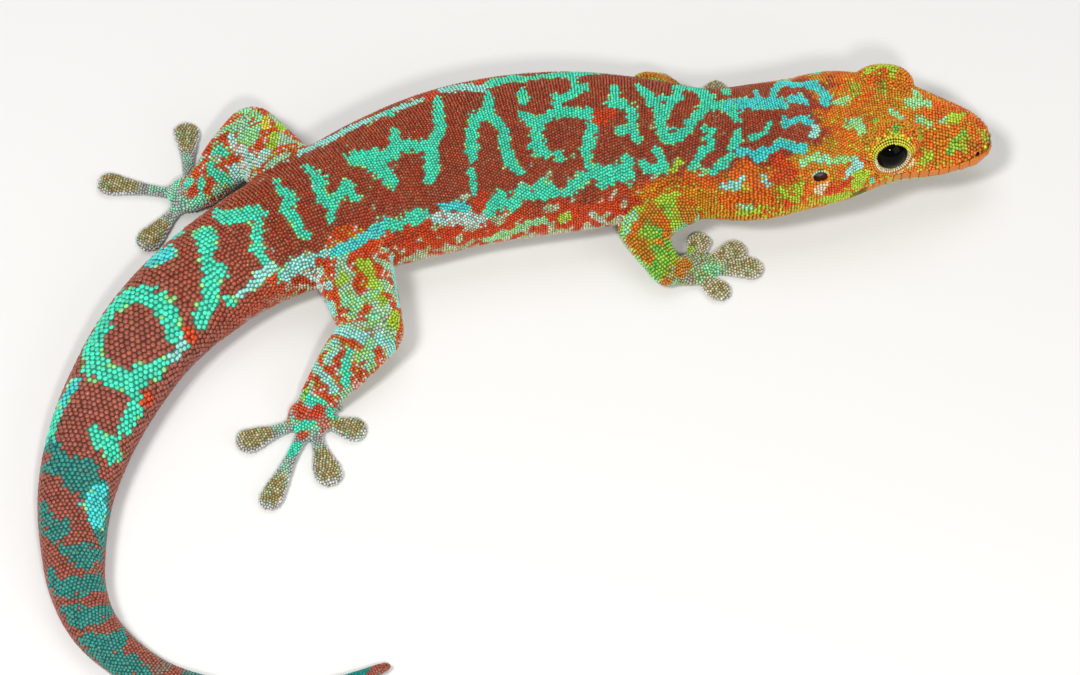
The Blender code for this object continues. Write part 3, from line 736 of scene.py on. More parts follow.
# %% How wide a scale is
BACK_SPACING = {
    "snout": 0.36,
    "muzzle": 0.36,
    "eyes": 0.31,
    "jaw": 0.29,
    "neck": 0.31,
    "chest": 0.32,
    "middle": 0.32,
    "hips": 0.34,
    "vent": 0.42,
    "tail_root": 0.54,
    "tail_1": 0.6,
    "tail_3": 0.55,
    "tail_5": 0.44,
    "tail_7": 0.38,
    "tail_11": 0.33,
    "tail_tip": 0.27,
}
BELLY_WIDENING = 1.75
WIDENING_STEEPNESS = 2.2
WIDENING_START = 0.9
TRUNK_START = (14.0, 8.0)
TRUNK_END = (90.0, 20.0)
LIMB_SPACING = 0.35
HAND_SPACING = 0.32
STATIONS = list(BODY_LINE)
SPACING_KNOTS = [BODY_KNOTS[STATIONS.index(name)] for name in BACK_SPACING]


def body_spacing(along, angles):
    """The width of a scale at a place on the body: wider on the belly, where the sine is below zero."""
    width = smooth_through(SPACING_KNOTS, np.array(list(BACK_SPACING.values()))[:, None], along)[:, 0]
    along = np.asarray(along)
    under = np.clip(-np.sin(angles) * WIDENING_STEEPNESS - WIDENING_START, 0.0, 1.0)
    trunk = np.clip((along - TRUNK_START[0]) / TRUNK_START[1], 0.0, 1.0)
    trunk = trunk * np.clip((TRUNK_END[0] - along) / TRUNK_END[1], 0.0, 1.0)
    return width * (1.0 + (BELLY_WIDENING - 1.0) * under * trunk)


# %% Rows of sites
ROW_STEP = math.sin(math.radians(60.0))
SITE_FIELDS = ("place", "out", "lie", "spacing", "form", "along", "round")
RING_STEPS = 96
LIE_STEP = 0.01
POLE_SHARE = 0.04
BODY_SPAN = (0.003, 0.998)
PALM_SPAN = (0.06, 0.94)
TOE_SPAN = (0.1, TOE_END)
PALM_LENGTH = 2.2


def lay_rows(form, surface, length, spacing_at, start=0.0, end=1.0):
    """Staggered rows of sites across a form, whose surface gives points for shares of its length."""
    angles = np.append(turns(RING_STEPS), 2 * math.pi)
    found = {field: [] for field in SITE_FIELDS}
    share = start
    row = 0
    while share < end:
        ring = surface([share], angles)[0]
        steps = np.linalg.norm(np.diff(ring, axis=0), axis=1)
        spacing = spacing_at(np.full(RING_STEPS, share), angles[:-1])
        reach = np.concatenate([[0.0], np.cumsum(steps / spacing)])
        count = max(3, round(reach[-1]))
        at = (np.arange(count) + 0.5 * (row % 2)) / count * reach[-1]
        turn = np.interp(at, reach, angles)
        places = surface([share], turn)[0]
        after = surface([min(share + LIE_STEP, 1.0)], turn)[0]
        before = surface([max(share - LIE_STEP, 0.0)], turn)[0]
        middle = surface([share], turns(12))[0].mean(axis=0)
        found["place"].append(places)
        found["out"].append(unit(places - middle))
        found["lie"].append(unit(after - before + 1e-9))
        found["spacing"].append(spacing_at(np.full(count, share), turn))
        found["form"].append(np.full(count, form))
        found["along"].append(np.full(count, share))
        found["round"].append(turn / (2 * math.pi))
        share += spacing.min() * ROW_STEP / length
        row += 1
    return {field: np.concatenate(values) for field, values in found.items()}


def ball_points(centre, axes, sizes, tilts, angles):
    """Points on a ball, a row for each share of the way from its first pole to its last."""
    tilt = (np.clip(np.asarray(tilts), POLE_SHARE, 1 - POLE_SHARE) * math.pi)[:, None]
    shell = [np.cos(angles) * np.sin(tilt), np.sin(angles) * np.sin(tilt), np.cos(tilt) + 0 * angles]
    return centre + (np.stack(shell, axis=-1) * sizes) @ np.asarray(axes)


def all_forms():
    """Each form's name, surface, length and spacing."""
    def body(share, angles):
        return body_points(np.asarray(share) * BODY_LENGTH, angles)

    def spacing_on_body(share, angles):
        return body_spacing(share * BODY_LENGTH, angles)

    forms = [("body", body, BODY_LENGTH, spacing_on_body, *BODY_SPAN)]
    on_limb = even(LIMB_SPACING)
    on_hand = even(HAND_SPACING)
    for limb in LIMBS:
        upper, lower = limb_paths(limb)
        parts = (("upper", upper, on_limb), ("lower", lower, on_limb), ("heel", heel_path(limb), on_hand))
        for part, path, spacing in parts:
            forms.append((f"{limb}_{part}", even_tube(*path), tube_frames(*path, [0.0])[3], spacing))
        palm, sizes, pads = FEET[limb]
        forms.append((f"{limb}_palm", palm_surface(limb), PALM_LENGTH * sizes[0], on_hand, *PALM_SPAN))
        for number, pad in enumerate(pads):
            length = toe_sections(palm, pad)[2]
            forms.append((f"{limb}_toe_{number}", toe_surface(palm, pad), length, on_hand, *TOE_SPAN))
    return forms


def even(spacing):
    """The same spacing everywhere."""
    return lambda share, angles: np.full(np.shape(angles), spacing)


def even_tube(points, radii):
    return lambda share, angles: tube_points(points, radii, share, angles)


def toe_surface(palm, pad):
    return lambda share, angles: toe_points(palm, pad, share, angles)


def palm_surface(limb):
    _, sizes, _ = FEET[limb]
    centre, ahead = palm_frame(limb)
    axes = (np.cross(UP, ahead), UP, ahead)
    reach = np.array([sizes[1], sizes[2], sizes[0]]) - COAT
    return lambda share, angles: ball_points(centre, axes, reach, share, angles)


FORMS = all_forms()
FORM_NAMES = [form[0] for form in FORMS]
laid = [lay_rows(index, *form[1:]) for index, form in enumerate(FORMS)]
sites = {field: np.concatenate([rows[field] for rows in laid]) for field in SITE_FIELDS}
print("sites laid:", len(sites["place"]))

# %% Only what lies on the skin
ON_SKIN = 0.45
LIP_HEIGHT = 1.3
LOWER_LIP_HEIGHT = 0.58
LIP_TIP_REACH = (0.4, 2.6)
LIP_TIP_SHARE = (0.58, 1.0)
LID_REACH = 2.36
EAR_REACH = 1.05
EAR_NEAR = 1.2
NOSTRIL_MARGIN = 0.08
SAME_WAY = 0.35


def keep(sites, mask):
    return {field: values[mask] for field, values in sites.items()}


def distance_to_path(places, path):
    """The distance from each place to a line of points, and the way from the line to the place."""
    best = np.full(len(places), np.inf)
    away = np.zeros_like(places)
    for start, end in zip(path, path[1:]):
        along = end - start
        share = np.clip((places - start) @ along / (along @ along), 0.0, 1.0)
        offset = places - start - share[:, None] * along
        distance = np.linalg.norm(offset, axis=1)
        nearer = distance < best
        best[nearer] = distance[nearer]
        away[nearer] = offset[nearer]
    return best, away


def lip_share(from_tip):
    """How tall the upper lip is at a distance from the tip of the snout, as a share of its full height."""
    return np.interp(from_tip, LIP_TIP_REACH, LIP_TIP_SHARE)


def in_an_opening(places):
    """Places on the lips, within the lids, in the ears or in the nostrils."""
    distance, away = distance_to_path(places, MOUTH)
    height = lip_share(np.linalg.norm(places - MOUTH[len(MOUTH) // 2], axis=1)) * LIP_HEIGHT
    taken = distance < np.where(away[:, 2] > 0, height, LOWER_LIP_HEIGHT)
    for side, nostril in zip((-1, 1), NOSTRILS):
        centre, axes = eye_frame(side)
        local = (places - centre) @ axes.T
        taken |= (np.hypot(local[:, 0], local[:, 1]) < LID_REACH) & (local[:, 2] > 0.0)
        rim, ear_axes = ear_frame(side)
        local = (places - rim) @ ear_axes.T
        ear_share = np.hypot(local[:, 0] / EAR_SIZE[0], local[:, 1] / EAR_SIZE[1])
        taken |= (ear_share < EAR_REACH) & (abs(local[:, 2]) < EAR_NEAR)
        taken |= np.linalg.norm(places - nostril, axis=1) < NOSTRIL_RADIUS + NOSTRIL_MARGIN
    return taken


def settle(sites):
    """Every site moves to the nearest place on the skin."""
    sites["place"], sites["facing"], apart = onto(skin_tree, sites["place"])
    return apart


skin_tree = surface_tree(skin.data)
apart = settle(sites)
agree = (sites["facing"] * sites["out"]).sum(axis=1) > SAME_WAY
sites = keep(sites, (apart < ON_SKIN) & agree)
sites = keep(sites, ~in_an_opening(sites["place"]))
print("on the skin:", len(sites["place"]))

# %% Thin out, fill gaps and push apart
CROWDED = 0.66
BARE = 0.86
NEIGHBOURS = 7
WIDEST_GAP = 1.5
PUSH = 0.32
WANTED_GAP = 1.04
SHAKE = 0.13
LAST_SHAKE = 0.06
UNEVEN = 0.09
WIDTH_LIMITS = (0.85, 1.2)


def tree_of(places):
    tree = KDTree(len(places))
    for index, place in enumerate(places):
        tree.insert(place, index)
    tree.balance()
    return tree


def thinned(sites):
    """Takes out each site that crowds one already kept."""
    tree = tree_of(sites["place"])
    kept = np.ones(len(sites["place"]), bool)
    for index, (place, spacing) in enumerate(zip(sites["place"], sites["spacing"])):
        if kept[index]:
            for _, other, _ in tree.find_range(place, spacing * CROWDED):
                if other > index:
                    kept[other] = False
    return keep(sites, kept)


def filled(sites):
    """Adds a site at each point of the skin that no scale would cover."""
    tree = tree_of(sites["place"])
    corners = read_points(skin.data)
    near = [tree.find(corner) for corner in corners]
    owner = np.array([hit[1] for hit in near])
    distance = np.array([hit[2] for hit in near])
    bare = (distance > sites["spacing"][owner] * BARE) & (distance < WIDEST_GAP)
    bare &= ~in_an_opening(corners)
    more = {field: values[owner[bare]] for field, values in sites.items()}
    more["place"] = corners[bare]
    return {field: np.concatenate([values, more[field]]) for field, values in sites.items()}


def neighbours_of(places):
    """The numbers of each site's nearest neighbours."""
    tree = tree_of(places)
    return np.array([[hit[1] for hit in tree.find_n(place, NEIGHBOURS)][1:] for place in places])


def pushed_apart(sites, rounds):
    """Sites nearer to each other than their scales are wide move apart over the skin."""
    neighbours = neighbours_of(sites["place"])
    spacing = sites["spacing"]
    wanted = (spacing[:, None] + spacing[neighbours]) / 2 * WANTED_GAP
    for _ in range(rounds):
        apart = sites["place"][:, None] - sites["place"][neighbours]
        distance = np.linalg.norm(apart, axis=2) + 1e-6
        push = np.clip(1.0 - distance / wanted, 0.0, None) / distance
        sites["place"] = sites["place"] + (apart * push[..., None]).sum(axis=1) * spacing[:, None] * PUSH
    settle(sites)
    return sites


def shake_sites(sites, seed, share):
    """Every site moves at random, by a share of its scale's width."""
    shake = np.random.default_rng(seed).normal(size=sites["place"].shape)
    sites["place"] = sites["place"] + shake * sites["spacing"][:, None] * share


sites = thinned(sites)
for _ in range(2):
    sites = thinned(filled(pushed_apart(sites, 2)))
shake_sites(sites, 5, SHAKE)
for _ in range(3):
    sites = pushed_apart(sites, 2)
sites = keep(sites, ~in_an_opening(sites["place"]))
shake_sites(sites, 6, LAST_SHAKE)
settle(sites)
neighbours = neighbours_of(sites["place"])
sites["facing"] = unit(sites["facing"] + sites["facing"][neighbours].mean(axis=1))
sites["lie"] = sites["lie"] + sites["lie"][neighbours].mean(axis=1)
upright = (sites["lie"] * sites["facing"]).sum(axis=1, keepdims=True)
sites["lie"] = unit(sites["lie"] - sites["facing"] * upright)
gaps = np.linalg.norm(sites["place"][:, None] - sites["place"][neighbours], axis=2).mean(axis=1)
sites["width"] = np.clip(gaps / sites["spacing"], *WIDTH_LIMITS) * sites["spacing"]
sites["width"] *= 1 + UNEVEN * np.random.default_rng(7).uniform(-1, 1, len(gaps))
print("scales:", len(sites["place"]))

# %% [markdown]
# Node trees written as sums.
#
# Materials and Geometry Nodes are both trees of nodes. A small class holds one output socket, and adding or
# multiplying two of them adds a Math node, so the maths of a finish reads like maths. Every other node is
# added by one method, which is told its type, its settings and what goes into its sockets.

# %% A small language for node trees
class Wire:
    """One output of a node. Arithmetic on wires adds Math nodes to their tree."""

    def __init__(self, tree, socket):
        self.tree = tree
        self.socket = socket

    def __add__(self, other):
        return self.tree.math("ADD", self, other)

    __radd__ = __add__

    def __mul__(self, other):
        return self.tree.math("MULTIPLY", self, other)

    __rmul__ = __mul__

    def __sub__(self, other):
        return self.tree.math("SUBTRACT", self, other)


class Tree:
    """A node tree that is built by calls."""

    def __init__(self, nodes):
        self.nodes = nodes

    def add(self, kind, inputs=None, output=0, stops=None, **settings):
        """Adds a node, makes its settings, fills its sockets and returns one of its outputs."""
        node = self.nodes.nodes.new(kind)
        for name, value in settings.items():
            setattr(node, name, value)
        if stops:
            self.set_stops(node.color_ramp, stops)
        for name, value in (inputs or {}).items():
            socket = node.inputs[name] if isinstance(name, int) else self.open_socket(node.inputs, name)
            if isinstance(value, Wire):
                self.nodes.links.new(value.socket, socket)
            else:
                socket.default_value = value
        found = node.outputs[output] if isinstance(output, int) else self.open_socket(node.outputs, output)
        return Wire(self, found)

    def open_socket(self, sockets, name):
        return next(socket for socket in sockets if socket.name == name and socket.enabled)

    def set_stops(self, ramp, stops):
        while len(ramp.elements) < len(stops):
            ramp.elements.new(0.5)
        for element, (position, colour) in zip(ramp.elements, stops):
            element.position = position
            element.color = colour

    def math(self, operation, first, second):
        return self.add("ShaderNodeMath", {0: first, 1: second}, operation=operation)


def paint(code):
    """A colour written as on a paint chart, turned into the linear light that Blender works in."""
    shares = [int(code[i : i + 2], 16) / 255 for i in (1, 3, 5)]
    linear = [share / 12.92 if share <= 0.04045 else ((share + 0.055) / 1.055) ** 2.4 for share in shares]
    return (*linear, 1.0)


# %% [markdown]
# The finish of skin and scales.
#
# Reptile skin is keratin: a thin, slightly waxy layer over the colour, so it is neither matt nor wet. The
# colour of each scale is kept on the mesh in an attribute called tint. The material reads it, varies it a
# little from place to place, and roughens the surface with a grain far finer than a scale.

# %% Skin and scale materials
KERATIN_IOR = 1.24
COAT_ROUGHNESS = 0.14
BLOTCH_SCALE = 900.0
GRAIN_SCALE = 9000.0
# The darkest light and the spread above it, that blotches and grain give.
BLOTCH_LIGHT = (0.82, 0.36)
GRAIN_LIGHT = (0.9, 0.2)
BLOTCH_ROUGHNESS = 0.16
GRAIN_DEPTH = 0.03 * MM


def new_finish(name):
    """A new material, its tree and its main shader."""
    material = bpy.data.materials.new(name)
    material.use_nodes = True
    return material, Tree(material.node_tree), material.node_tree.nodes["Principled BSDF"]


def keratin(name, roughness, grain, painted_shade_factor=1.0, coat=0.0):
    """A waxy, finely grained finish that takes its colour from the tint on the mesh."""
    material, tree, shader = new_finish(name)
    where = tree.add("ShaderNodeTexCoord", output="Object")
    kind = "ShaderNodeTexNoise"
    blotches = tree.add(kind, {"Vector": where, "Scale": BLOTCH_SCALE, "Detail": 3.0}, output="Fac")
    fine = tree.add(kind, {"Vector": where, "Scale": GRAIN_SCALE, "Detail": 2.0}, output="Fac")
    tint = tree.add("ShaderNodeAttribute", output="Color", attribute_name="tint")
    light = BLOTCH_LIGHT[0] + BLOTCH_LIGHT[1] * blotches
    # The last factor makes the colour darker: painted shade, used for the skin in the gaps between the
    # scales.
    light = light * (GRAIN_LIGHT[0] + GRAIN_LIGHT[1] * fine) * painted_shade_factor
    grey = tree.add("ShaderNodeCombineColor", {"Red": light, "Green": light, "Blue": light})
    colour = tree.add(
        "ShaderNodeMix",
        {"Factor": 1.0, "A": tint, "B": grey},
        output="Result",
        data_type="RGBA",
        blend_type="MULTIPLY",
    )
    bump = tree.add("ShaderNodeBump", {"Height": fine, "Strength": grain, "Distance": GRAIN_DEPTH})
    links = material.node_tree.links
    links.new(colour.socket, shader.inputs["Base Color"])
    links.new((roughness + BLOTCH_ROUGHNESS * (blotches - 0.5)).socket, shader.inputs["Roughness"])
    links.new(bump.socket, shader.inputs["Normal"])
    shader.inputs["IOR"].default_value = KERATIN_IOR
    shader.inputs["Coat Weight"].default_value = coat
    shader.inputs["Coat Roughness"].default_value = COAT_ROUGHNESS
    return material


SCALE_FINISH = keratin("scale keratin", 0.4, 0.3, coat=0.4)
# Painted shade: the skin between the scales is brought down to 0.3 of its tint, for the shade in the narrow
# gaps.
SKIN_FINISH_WITH_PAINTED_SHADE = keratin("skin between the scales", 0.62, 0.6, painted_shade_factor=0.3)
print("materials:", [material.name for material in bpy.data.materials if "keratin" in material.name])

# %% [markdown]
# The shapes of a scale.
#
# A back scale is a low bead, a belly or tail scale is a flatter plate, drawn out a little towards the tail.
# Each is a dome of six sides over a flat base that sinks into the skin. Six sides are enough because
# the scales lie packed like the cells of a comb, and each has few faces, since there are more than
# forty-five thousand of them.

# %% Bead and plate
def squared(value, corners):
    """A sine or cosine pushed outwards, so that a circle becomes a square with rounded corners."""
    return math.copysign(abs(value) ** (2 / corners), value)


def scale_shape(name, profile, length=1.0, lean=0.0, sides=6, corners=2.0):
    """A dome one unit wide. The profile lists shares of its half width with heights, from the top down."""
    build = bmesh.new()
    patch = build.verts.layers.float_vector.new("patch")
    top = build.verts.new((lean, 0.0, profile[0][1]))
    rings = []
    for share, height in profile[1:]:
        ring = []
        for turn in turns(sides):
            x = squared(math.cos(turn), corners) * share * length / 2 + lean * (1 - share)
            ring.append(build.verts.new((x, squared(math.sin(turn), corners) * share / 2, height)))
        rings.append(ring)
    for i in range(sides):
        j = (i + 1) % sides
        build.faces.new((top, rings[0][i], rings[0][j]))
        for inner, outer in zip(rings, rings[1:]):
            build.faces.new((inner[i], outer[i], outer[j], inner[j]))
    build.faces.new(rings[-1][::-1])
    for vert in build.verts:
        vert[patch] = Vector((vert.co.x, vert.co.y, 0.0))
    mesh = bpy.data.meshes.new(name)
    build.to_mesh(mesh)
    build.free()
    return bpy.data.objects.new(name, mesh)


BEAD = scale_shape("bead", ((0.0, 0.36), (0.55, 0.27), (0.97, -0.1)))
FINE_BEAD = scale_shape("fine bead", ((0.0, 0.35), (0.45, 0.3), (0.8, 0.14), (0.97, -0.12)))
PLATE = scale_shape("plate", ((0.0, 0.2), (0.66, 0.16), (1.0, -0.1)), length=1.06, lean=0.05)
BELLY_PLATE = scale_shape("belly plate", ((0.0, 0.09), (0.72, 0.075), (1.08, -0.1)), length=1.05)
LIP_PROFILE = ((0.0, 0.2), (0.7, 0.18), (0.92, 0.1), (1.0, -0.25))
LIP_PLATE = scale_shape("lip plate", LIP_PROFILE, sides=16, corners=5.0)
print("faces of a bead:", len(BEAD.data.polygons))

# %% [markdown]
# Laying the scales with Geometry Nodes.
#
# Each site becomes a point that carries the way it faces, the way its scale lies, its width and its tint.
# One tree puts a scale on every point, turns it to face out and to lie towards the tail, wobbles it a
# little, and makes the instances real. It also writes the flat map on which each scale keeps a small patch
# of its own beside its root.

# %% The tree that lays scales
PATCH = 0.003


LAYING_SOCKETS = {
    "Geometry": "NodeSocketGeometry",
    "Shape": "NodeSocketObject",
    "Wobble": "NodeSocketFloat",
    "Finish": "NodeSocketMaterial",
    "Seed": "NodeSocketInt",
}


def laying_tree():
    """The tree that turns points into scales."""
    group = bpy.data.node_groups.new("lay scales", "GeometryNodeTree")
    for name, kind in LAYING_SOCKETS.items():
        group.interface.new_socket(name, in_out="INPUT", socket_type=kind)
    group.interface.new_socket("Geometry", in_out="OUTPUT", socket_type="NodeSocketGeometry")
    tree = Tree(group)
    given = list(group.nodes.new("NodeGroupInput").outputs)[: len(LAYING_SOCKETS)]
    points, shape, wobble, finish, seed = (Wire(tree, socket) for socket in given)

    def read(name, data_type="FLOAT_VECTOR"):
        kind = "GeometryNodeInputNamedAttribute"
        return tree.add(kind, {"Name": name}, output="Attribute", data_type=data_type)

    facing = tree.add("FunctionNodeAlignRotationToVector", {"Vector": read("facing")}, axis="Z")
    turned = tree.add(
        "FunctionNodeAlignRotationToVector",
        {"Rotation": facing, "Vector": read("lie")},
        axis="X",
        pivot_axis="Z",
    )
    jitter = tree.add(
        "FunctionNodeRandomValue",
        {"Min": (-1.0, -1.0, -1.0), "Max": (1.0, 1.0, 1.0), "Seed": seed},
        output="Value",
        data_type="FLOAT_VECTOR",
    )
    shaken = tree.add("ShaderNodeVectorMath", {0: jitter, "Scale": wobble}, operation="SCALE")
    tilt = tree.add("FunctionNodeEulerToRotation", {"Euler": shaken})
    turn = tree.add(
        "FunctionNodeRotateRotation",
        {"Rotation": turned, "Rotate By": tilt},
        rotation_space="LOCAL",
    )
    body = tree.add("GeometryNodeObjectInfo", {"Object": shape}, output="Geometry")
    laid = tree.add(
        "GeometryNodeInstanceOnPoints",
        {"Points": points, "Instance": body, "Rotation": turn, "Scale": read("size")},
    )
    real = tree.add("GeometryNodeRealizeInstances", {"Geometry": laid})
    spot = tree.add("ShaderNodeVectorMath", {0: read("patch"), "Scale": PATCH}, operation="SCALE")
    flat = tree.add("ShaderNodeVectorMath", {0: read("root"), 1: spot}, operation="ADD")
    mapped = tree.add(
        "GeometryNodeStoreNamedAttribute",
        {"Geometry": real, "Name": "OFBake", "Value": flat},
        data_type="FLOAT2",
        domain="CORNER",
    )
    for name in ("facing", "lie", "size", "root", "patch"):
        mapped = tree.add("GeometryNodeRemoveAttribute", {"Geometry": mapped, "Name": name})
    smooth = tree.add("GeometryNodeSetShadeSmooth", {"Geometry": mapped})
    finished = tree.add("GeometryNodeSetMaterial", {"Geometry": smooth, "Material": finish})
    result = group.nodes.new("NodeGroupOutput")
    group.links.new(finished.socket, result.inputs[0])
    return group


LAYING = laying_tree()
print("laying tree:", len(LAYING.nodes), "nodes")

# %% Lay one piece
def add_attribute(mesh, name, kind, values):
    """Writes one value for each point of the mesh."""
    attribute = mesh.attributes.new(name, kind, "POINT")
    field = "color" if kind == "FLOAT_COLOR" else "vector"
    attribute.data.foreach_set(field, np.asarray(values, float).ravel())


def lay(name, places, facing, lie, sizes, tints, roots, shape, wobble, seed):
    """A plain mesh of scales, one on each place."""
    mesh = bpy.data.meshes.new(name)
    mesh.from_pydata(metres(places).tolist(), [], [])
    add_attribute(mesh, "facing", "FLOAT_VECTOR", facing)
    add_attribute(mesh, "lie", "FLOAT_VECTOR", lie)
    add_attribute(mesh, "size", "FLOAT_VECTOR", np.asarray(sizes) * MM)
    add_attribute(mesh, "tint", "FLOAT_COLOR", tints)
    add_attribute(mesh, "root", "FLOAT_VECTOR", np.column_stack([roots, np.zeros(len(roots))]))
    piece = shown(name, mesh)
    modifier = piece.modifiers.new("lay", "NODES")
    modifier.node_group = LAYING
    given = {"Shape": shape, "Wobble": wobble, "Finish": SCALE_FINISH, "Seed": seed}
    for socket in LAYING.interface.items_tree:
        if socket.in_out == "INPUT" and socket.name in given:
            modifier[socket.identifier] = given[socket.name]
    applied(piece)
    above = read_points(piece.data)
    above[:, 2] = np.maximum(above[:, 2], 0.0)
    write_points(piece.data, above)
    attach(piece, "root")
    print(name, len(piece.data.vertices), "points")
    return piece


# %% [markdown]
# Colours.
#
# Day geckos carry their colours scale by scale: each scale is one colour, so a marking has a stepped edge.
# The paints are named first. Then every scale gets the ground colour of its part of the body: maroon on
# the back, redder on the flank, cream below, orange on the head, teal and mauve towards the tail tip.

# %% Paints
PAINT_CODES = {
    "maroon": "#9a4228",
    "brick": "#a83e20",
    "red": "#cc4416",
    "vermilion": "#cf501a",
    "orange": "#d86612",
    "amber": "#cc8618",
    "yellow": "#cfc531",
    "lime": "#a5c936",
    "leaf": "#58b048",
    "olive": "#968624",
    "mint": "#86dcb0",
    "turquoise": "#33dfb8",
    "cyan": "#35d6d0",
    "sky": "#8fe0d4",
    "pearl": "#cbd6ca",
    "lilac": "#ae9fab",
    "cream": "#d2c8a6",
    "teal": "#06877c",
    "mauve": "#965648",
    "ochre": "#a07a38",
    "moss": "#989262",
    "grey": "#a2a89e",
    "shadow": "#33201a",
}
PAINTS = {name: np.array(paint(code)) for name, code in PAINT_CODES.items()}
WAVES = 24
rng = np.random.default_rng(974)


def wander(places, size, seed):
    """A smooth random value from about -1 to 1 that changes over the given distance."""
    waves = np.random.default_rng(seed)
    ways = unit(waves.normal(size=(WAVES, 3))) * waves.uniform(0.6, 1.4, (WAVES, 1)) * (2 * math.pi / size)
    phases = waves.uniform(0, 2 * math.pi, WAVES)
    return np.cos(places @ ways.T + phases).sum(axis=1) / math.sqrt(WAVES / 2)


def ramp(value, start, end):
    """0 before the start, 1 after the end and a straight line between."""
    return np.clip((value - start) / (end - start), 0.0, 1.0)


def toward(tints, paint_name, share):
    """Moves the tints of the scales towards a paint, by a share for each scale."""
    share = np.broadcast_to(share, len(tints))[:, None]
    return tints * (1 - share) + PAINTS[paint_name] * share


def layered(tints, *layers):
    """Lays one paint after the other over the tints, each by its own share."""
    for paint_name, share in layers:
        tints = toward(tints, paint_name, share)
    return tints


def plain(paint_name, count):
    """The same tint for each scale."""
    return np.tile(PAINTS[paint_name], (count, 1))


def chance(share, count):
    """Picks single scales at random, each with its own share of luck."""
    return (rng.random(count) < share).astype(float)


# %% [markdown]
# Ground colours are recipes. Each line lays one paint over those before it, with how strong it is and where:
# by the distance from the snout, by the rise of the skin from belly to back, by slow random waves, or by the
# luck of single scales.

# %% Ground colours
WARM_REACH_RIGHT = ((0.5, 0.64, 0.83, 1.0), (35.0, 29.5, 20.5, 17.5))
WARM_REACH_LEFT = ((0.0, 0.3, 0.79, 1.0), (34.0, 30.0, 16.5, 17.5))
WARM_EDGE = 1.3


def body_ground(places, distance, turn):
    """Ground colours on the body. The sine of the turn is 1 on the back and -1 on the belly."""
    count = len(places)
    rise = np.sin(turn)
    broad = wander(places, 7.0, 1)
    small = wander(places, 2.2, 2)
    flank = ramp(0.55 - rise + 0.12 * small, 0.0, 0.35) * ramp(distance, 24, 32)
    flecks = ramp(wander(places, 1.5, 13) + 2.2 * (0.1 - rise), 0.5, 0.9) * ramp(distance, 26, 34)
    flecks *= 1 - ramp(distance, 72, 80)
    tail = ramp(distance, 74, 92)
    bands = ramp(distance, 132, 138) * (np.sin(distance * 0.92 + 0.5 * small) > -0.55)
    below = ramp(-0.3 - rise + 0.1 * small, 0.0, 0.25) * ramp(distance, 10, 20)
    cool = layered(
        plain("maroon", count),
        ("brick", 0.55 * ramp(small + 0.6 * broad, -0.2, 1.4)),
        ("moss", chance(0.3, count) * 0.16),
        ("red", 0.85 * flank * (1 - ramp(distance, 72, 88))),
        ("mint", flecks * 0.5),
        ("pearl", chance(0.45, count) * flecks * 0.6),
        ("lime", chance(0.25, count) * flecks * 0.5),
        ("mauve", 0.75 * tail),
        ("teal", bands),
        ("cream", below * (1 - tail)),
        ("lilac", below * (0.45 + 0.5 * tail)),
    )
    crown = ramp(distance, 11, 15) * ramp(rise, 0.5, 0.9)
    lower = ramp(0.4 - rise, 0.0, 0.6)
    warm = layered(
        plain("orange", count),
        ("red", 0.55 * ramp(small + broad, 0.1, 1.2)),
        ("amber", 0.6 * ramp(-small + 0.5 * broad, 0.0, 1.2)),
        ("olive", 0.5 * crown * ramp(wander(places, 5, 3), -0.2, 0.8)),
        ("amber", chance(0.3, count) * 0.5),
        ("olive", chance(0.25, count) * ramp(wander(places, 3, 4), -0.6, 0.6) * 0.6),
        ("lime", chance(0.08 + 0.34 * lower, count) * 0.7),
        ("cream", 0.85 * ramp(-0.35 - rise, 0.0, 0.3)),
    )
    right_reach = np.interp(rise, *WARM_REACH_RIGHT)
    reach = np.where(np.cos(turn) < 0, right_reach, np.interp(rise, *WARM_REACH_LEFT))
    share = 1 - ramp(distance + 1.1 * small, reach - WARM_EDGE, reach + WARM_EDGE)
    share = (0.35 * share + 0.65 * chance(share, count))[:, None]
    return cool * (1 - share) + warm * share


def leg_ground(places, rise):
    """Vermilion legs with mint patches, paler below."""
    count = len(places)
    patches = wander(places, 3.2, 5)
    return layered(
        plain("vermilion", count),
        ("brick", 0.45 * ramp(wander(places, 2.0, 6), -0.5, 1.0)),
        ("mint", ramp(patches, 0.55, 0.75) * 0.75),
        ("pearl", chance(0.14 + 0.4 * ramp(0.2 - rise, 0.0, 0.5), count) * 0.65),
        ("lime", chance(0.1, count) * 0.55),
        ("cream", ramp(-0.35 - rise, 0.0, 0.3) * 0.85),
    )


def arm_ground(places, rise):
    """Lime and olive arms with orange patches, paler below."""
    count = len(places)
    patches = wander(places, 3.4, 7)
    return layered(
        plain("lime", count),
        ("olive", 0.35 + 0.3 * wander(places, 1.6, 8)),
        ("amber", chance(0.3, count) * 0.6),
        ("orange", ramp(patches, 0.5, 0.65) * 0.9),
        ("mint", ramp(0.15 - rise, 0.0, 0.3) * 0.7),
        ("cream", ramp(-0.35 - rise, 0.0, 0.3) * 0.85),
    )


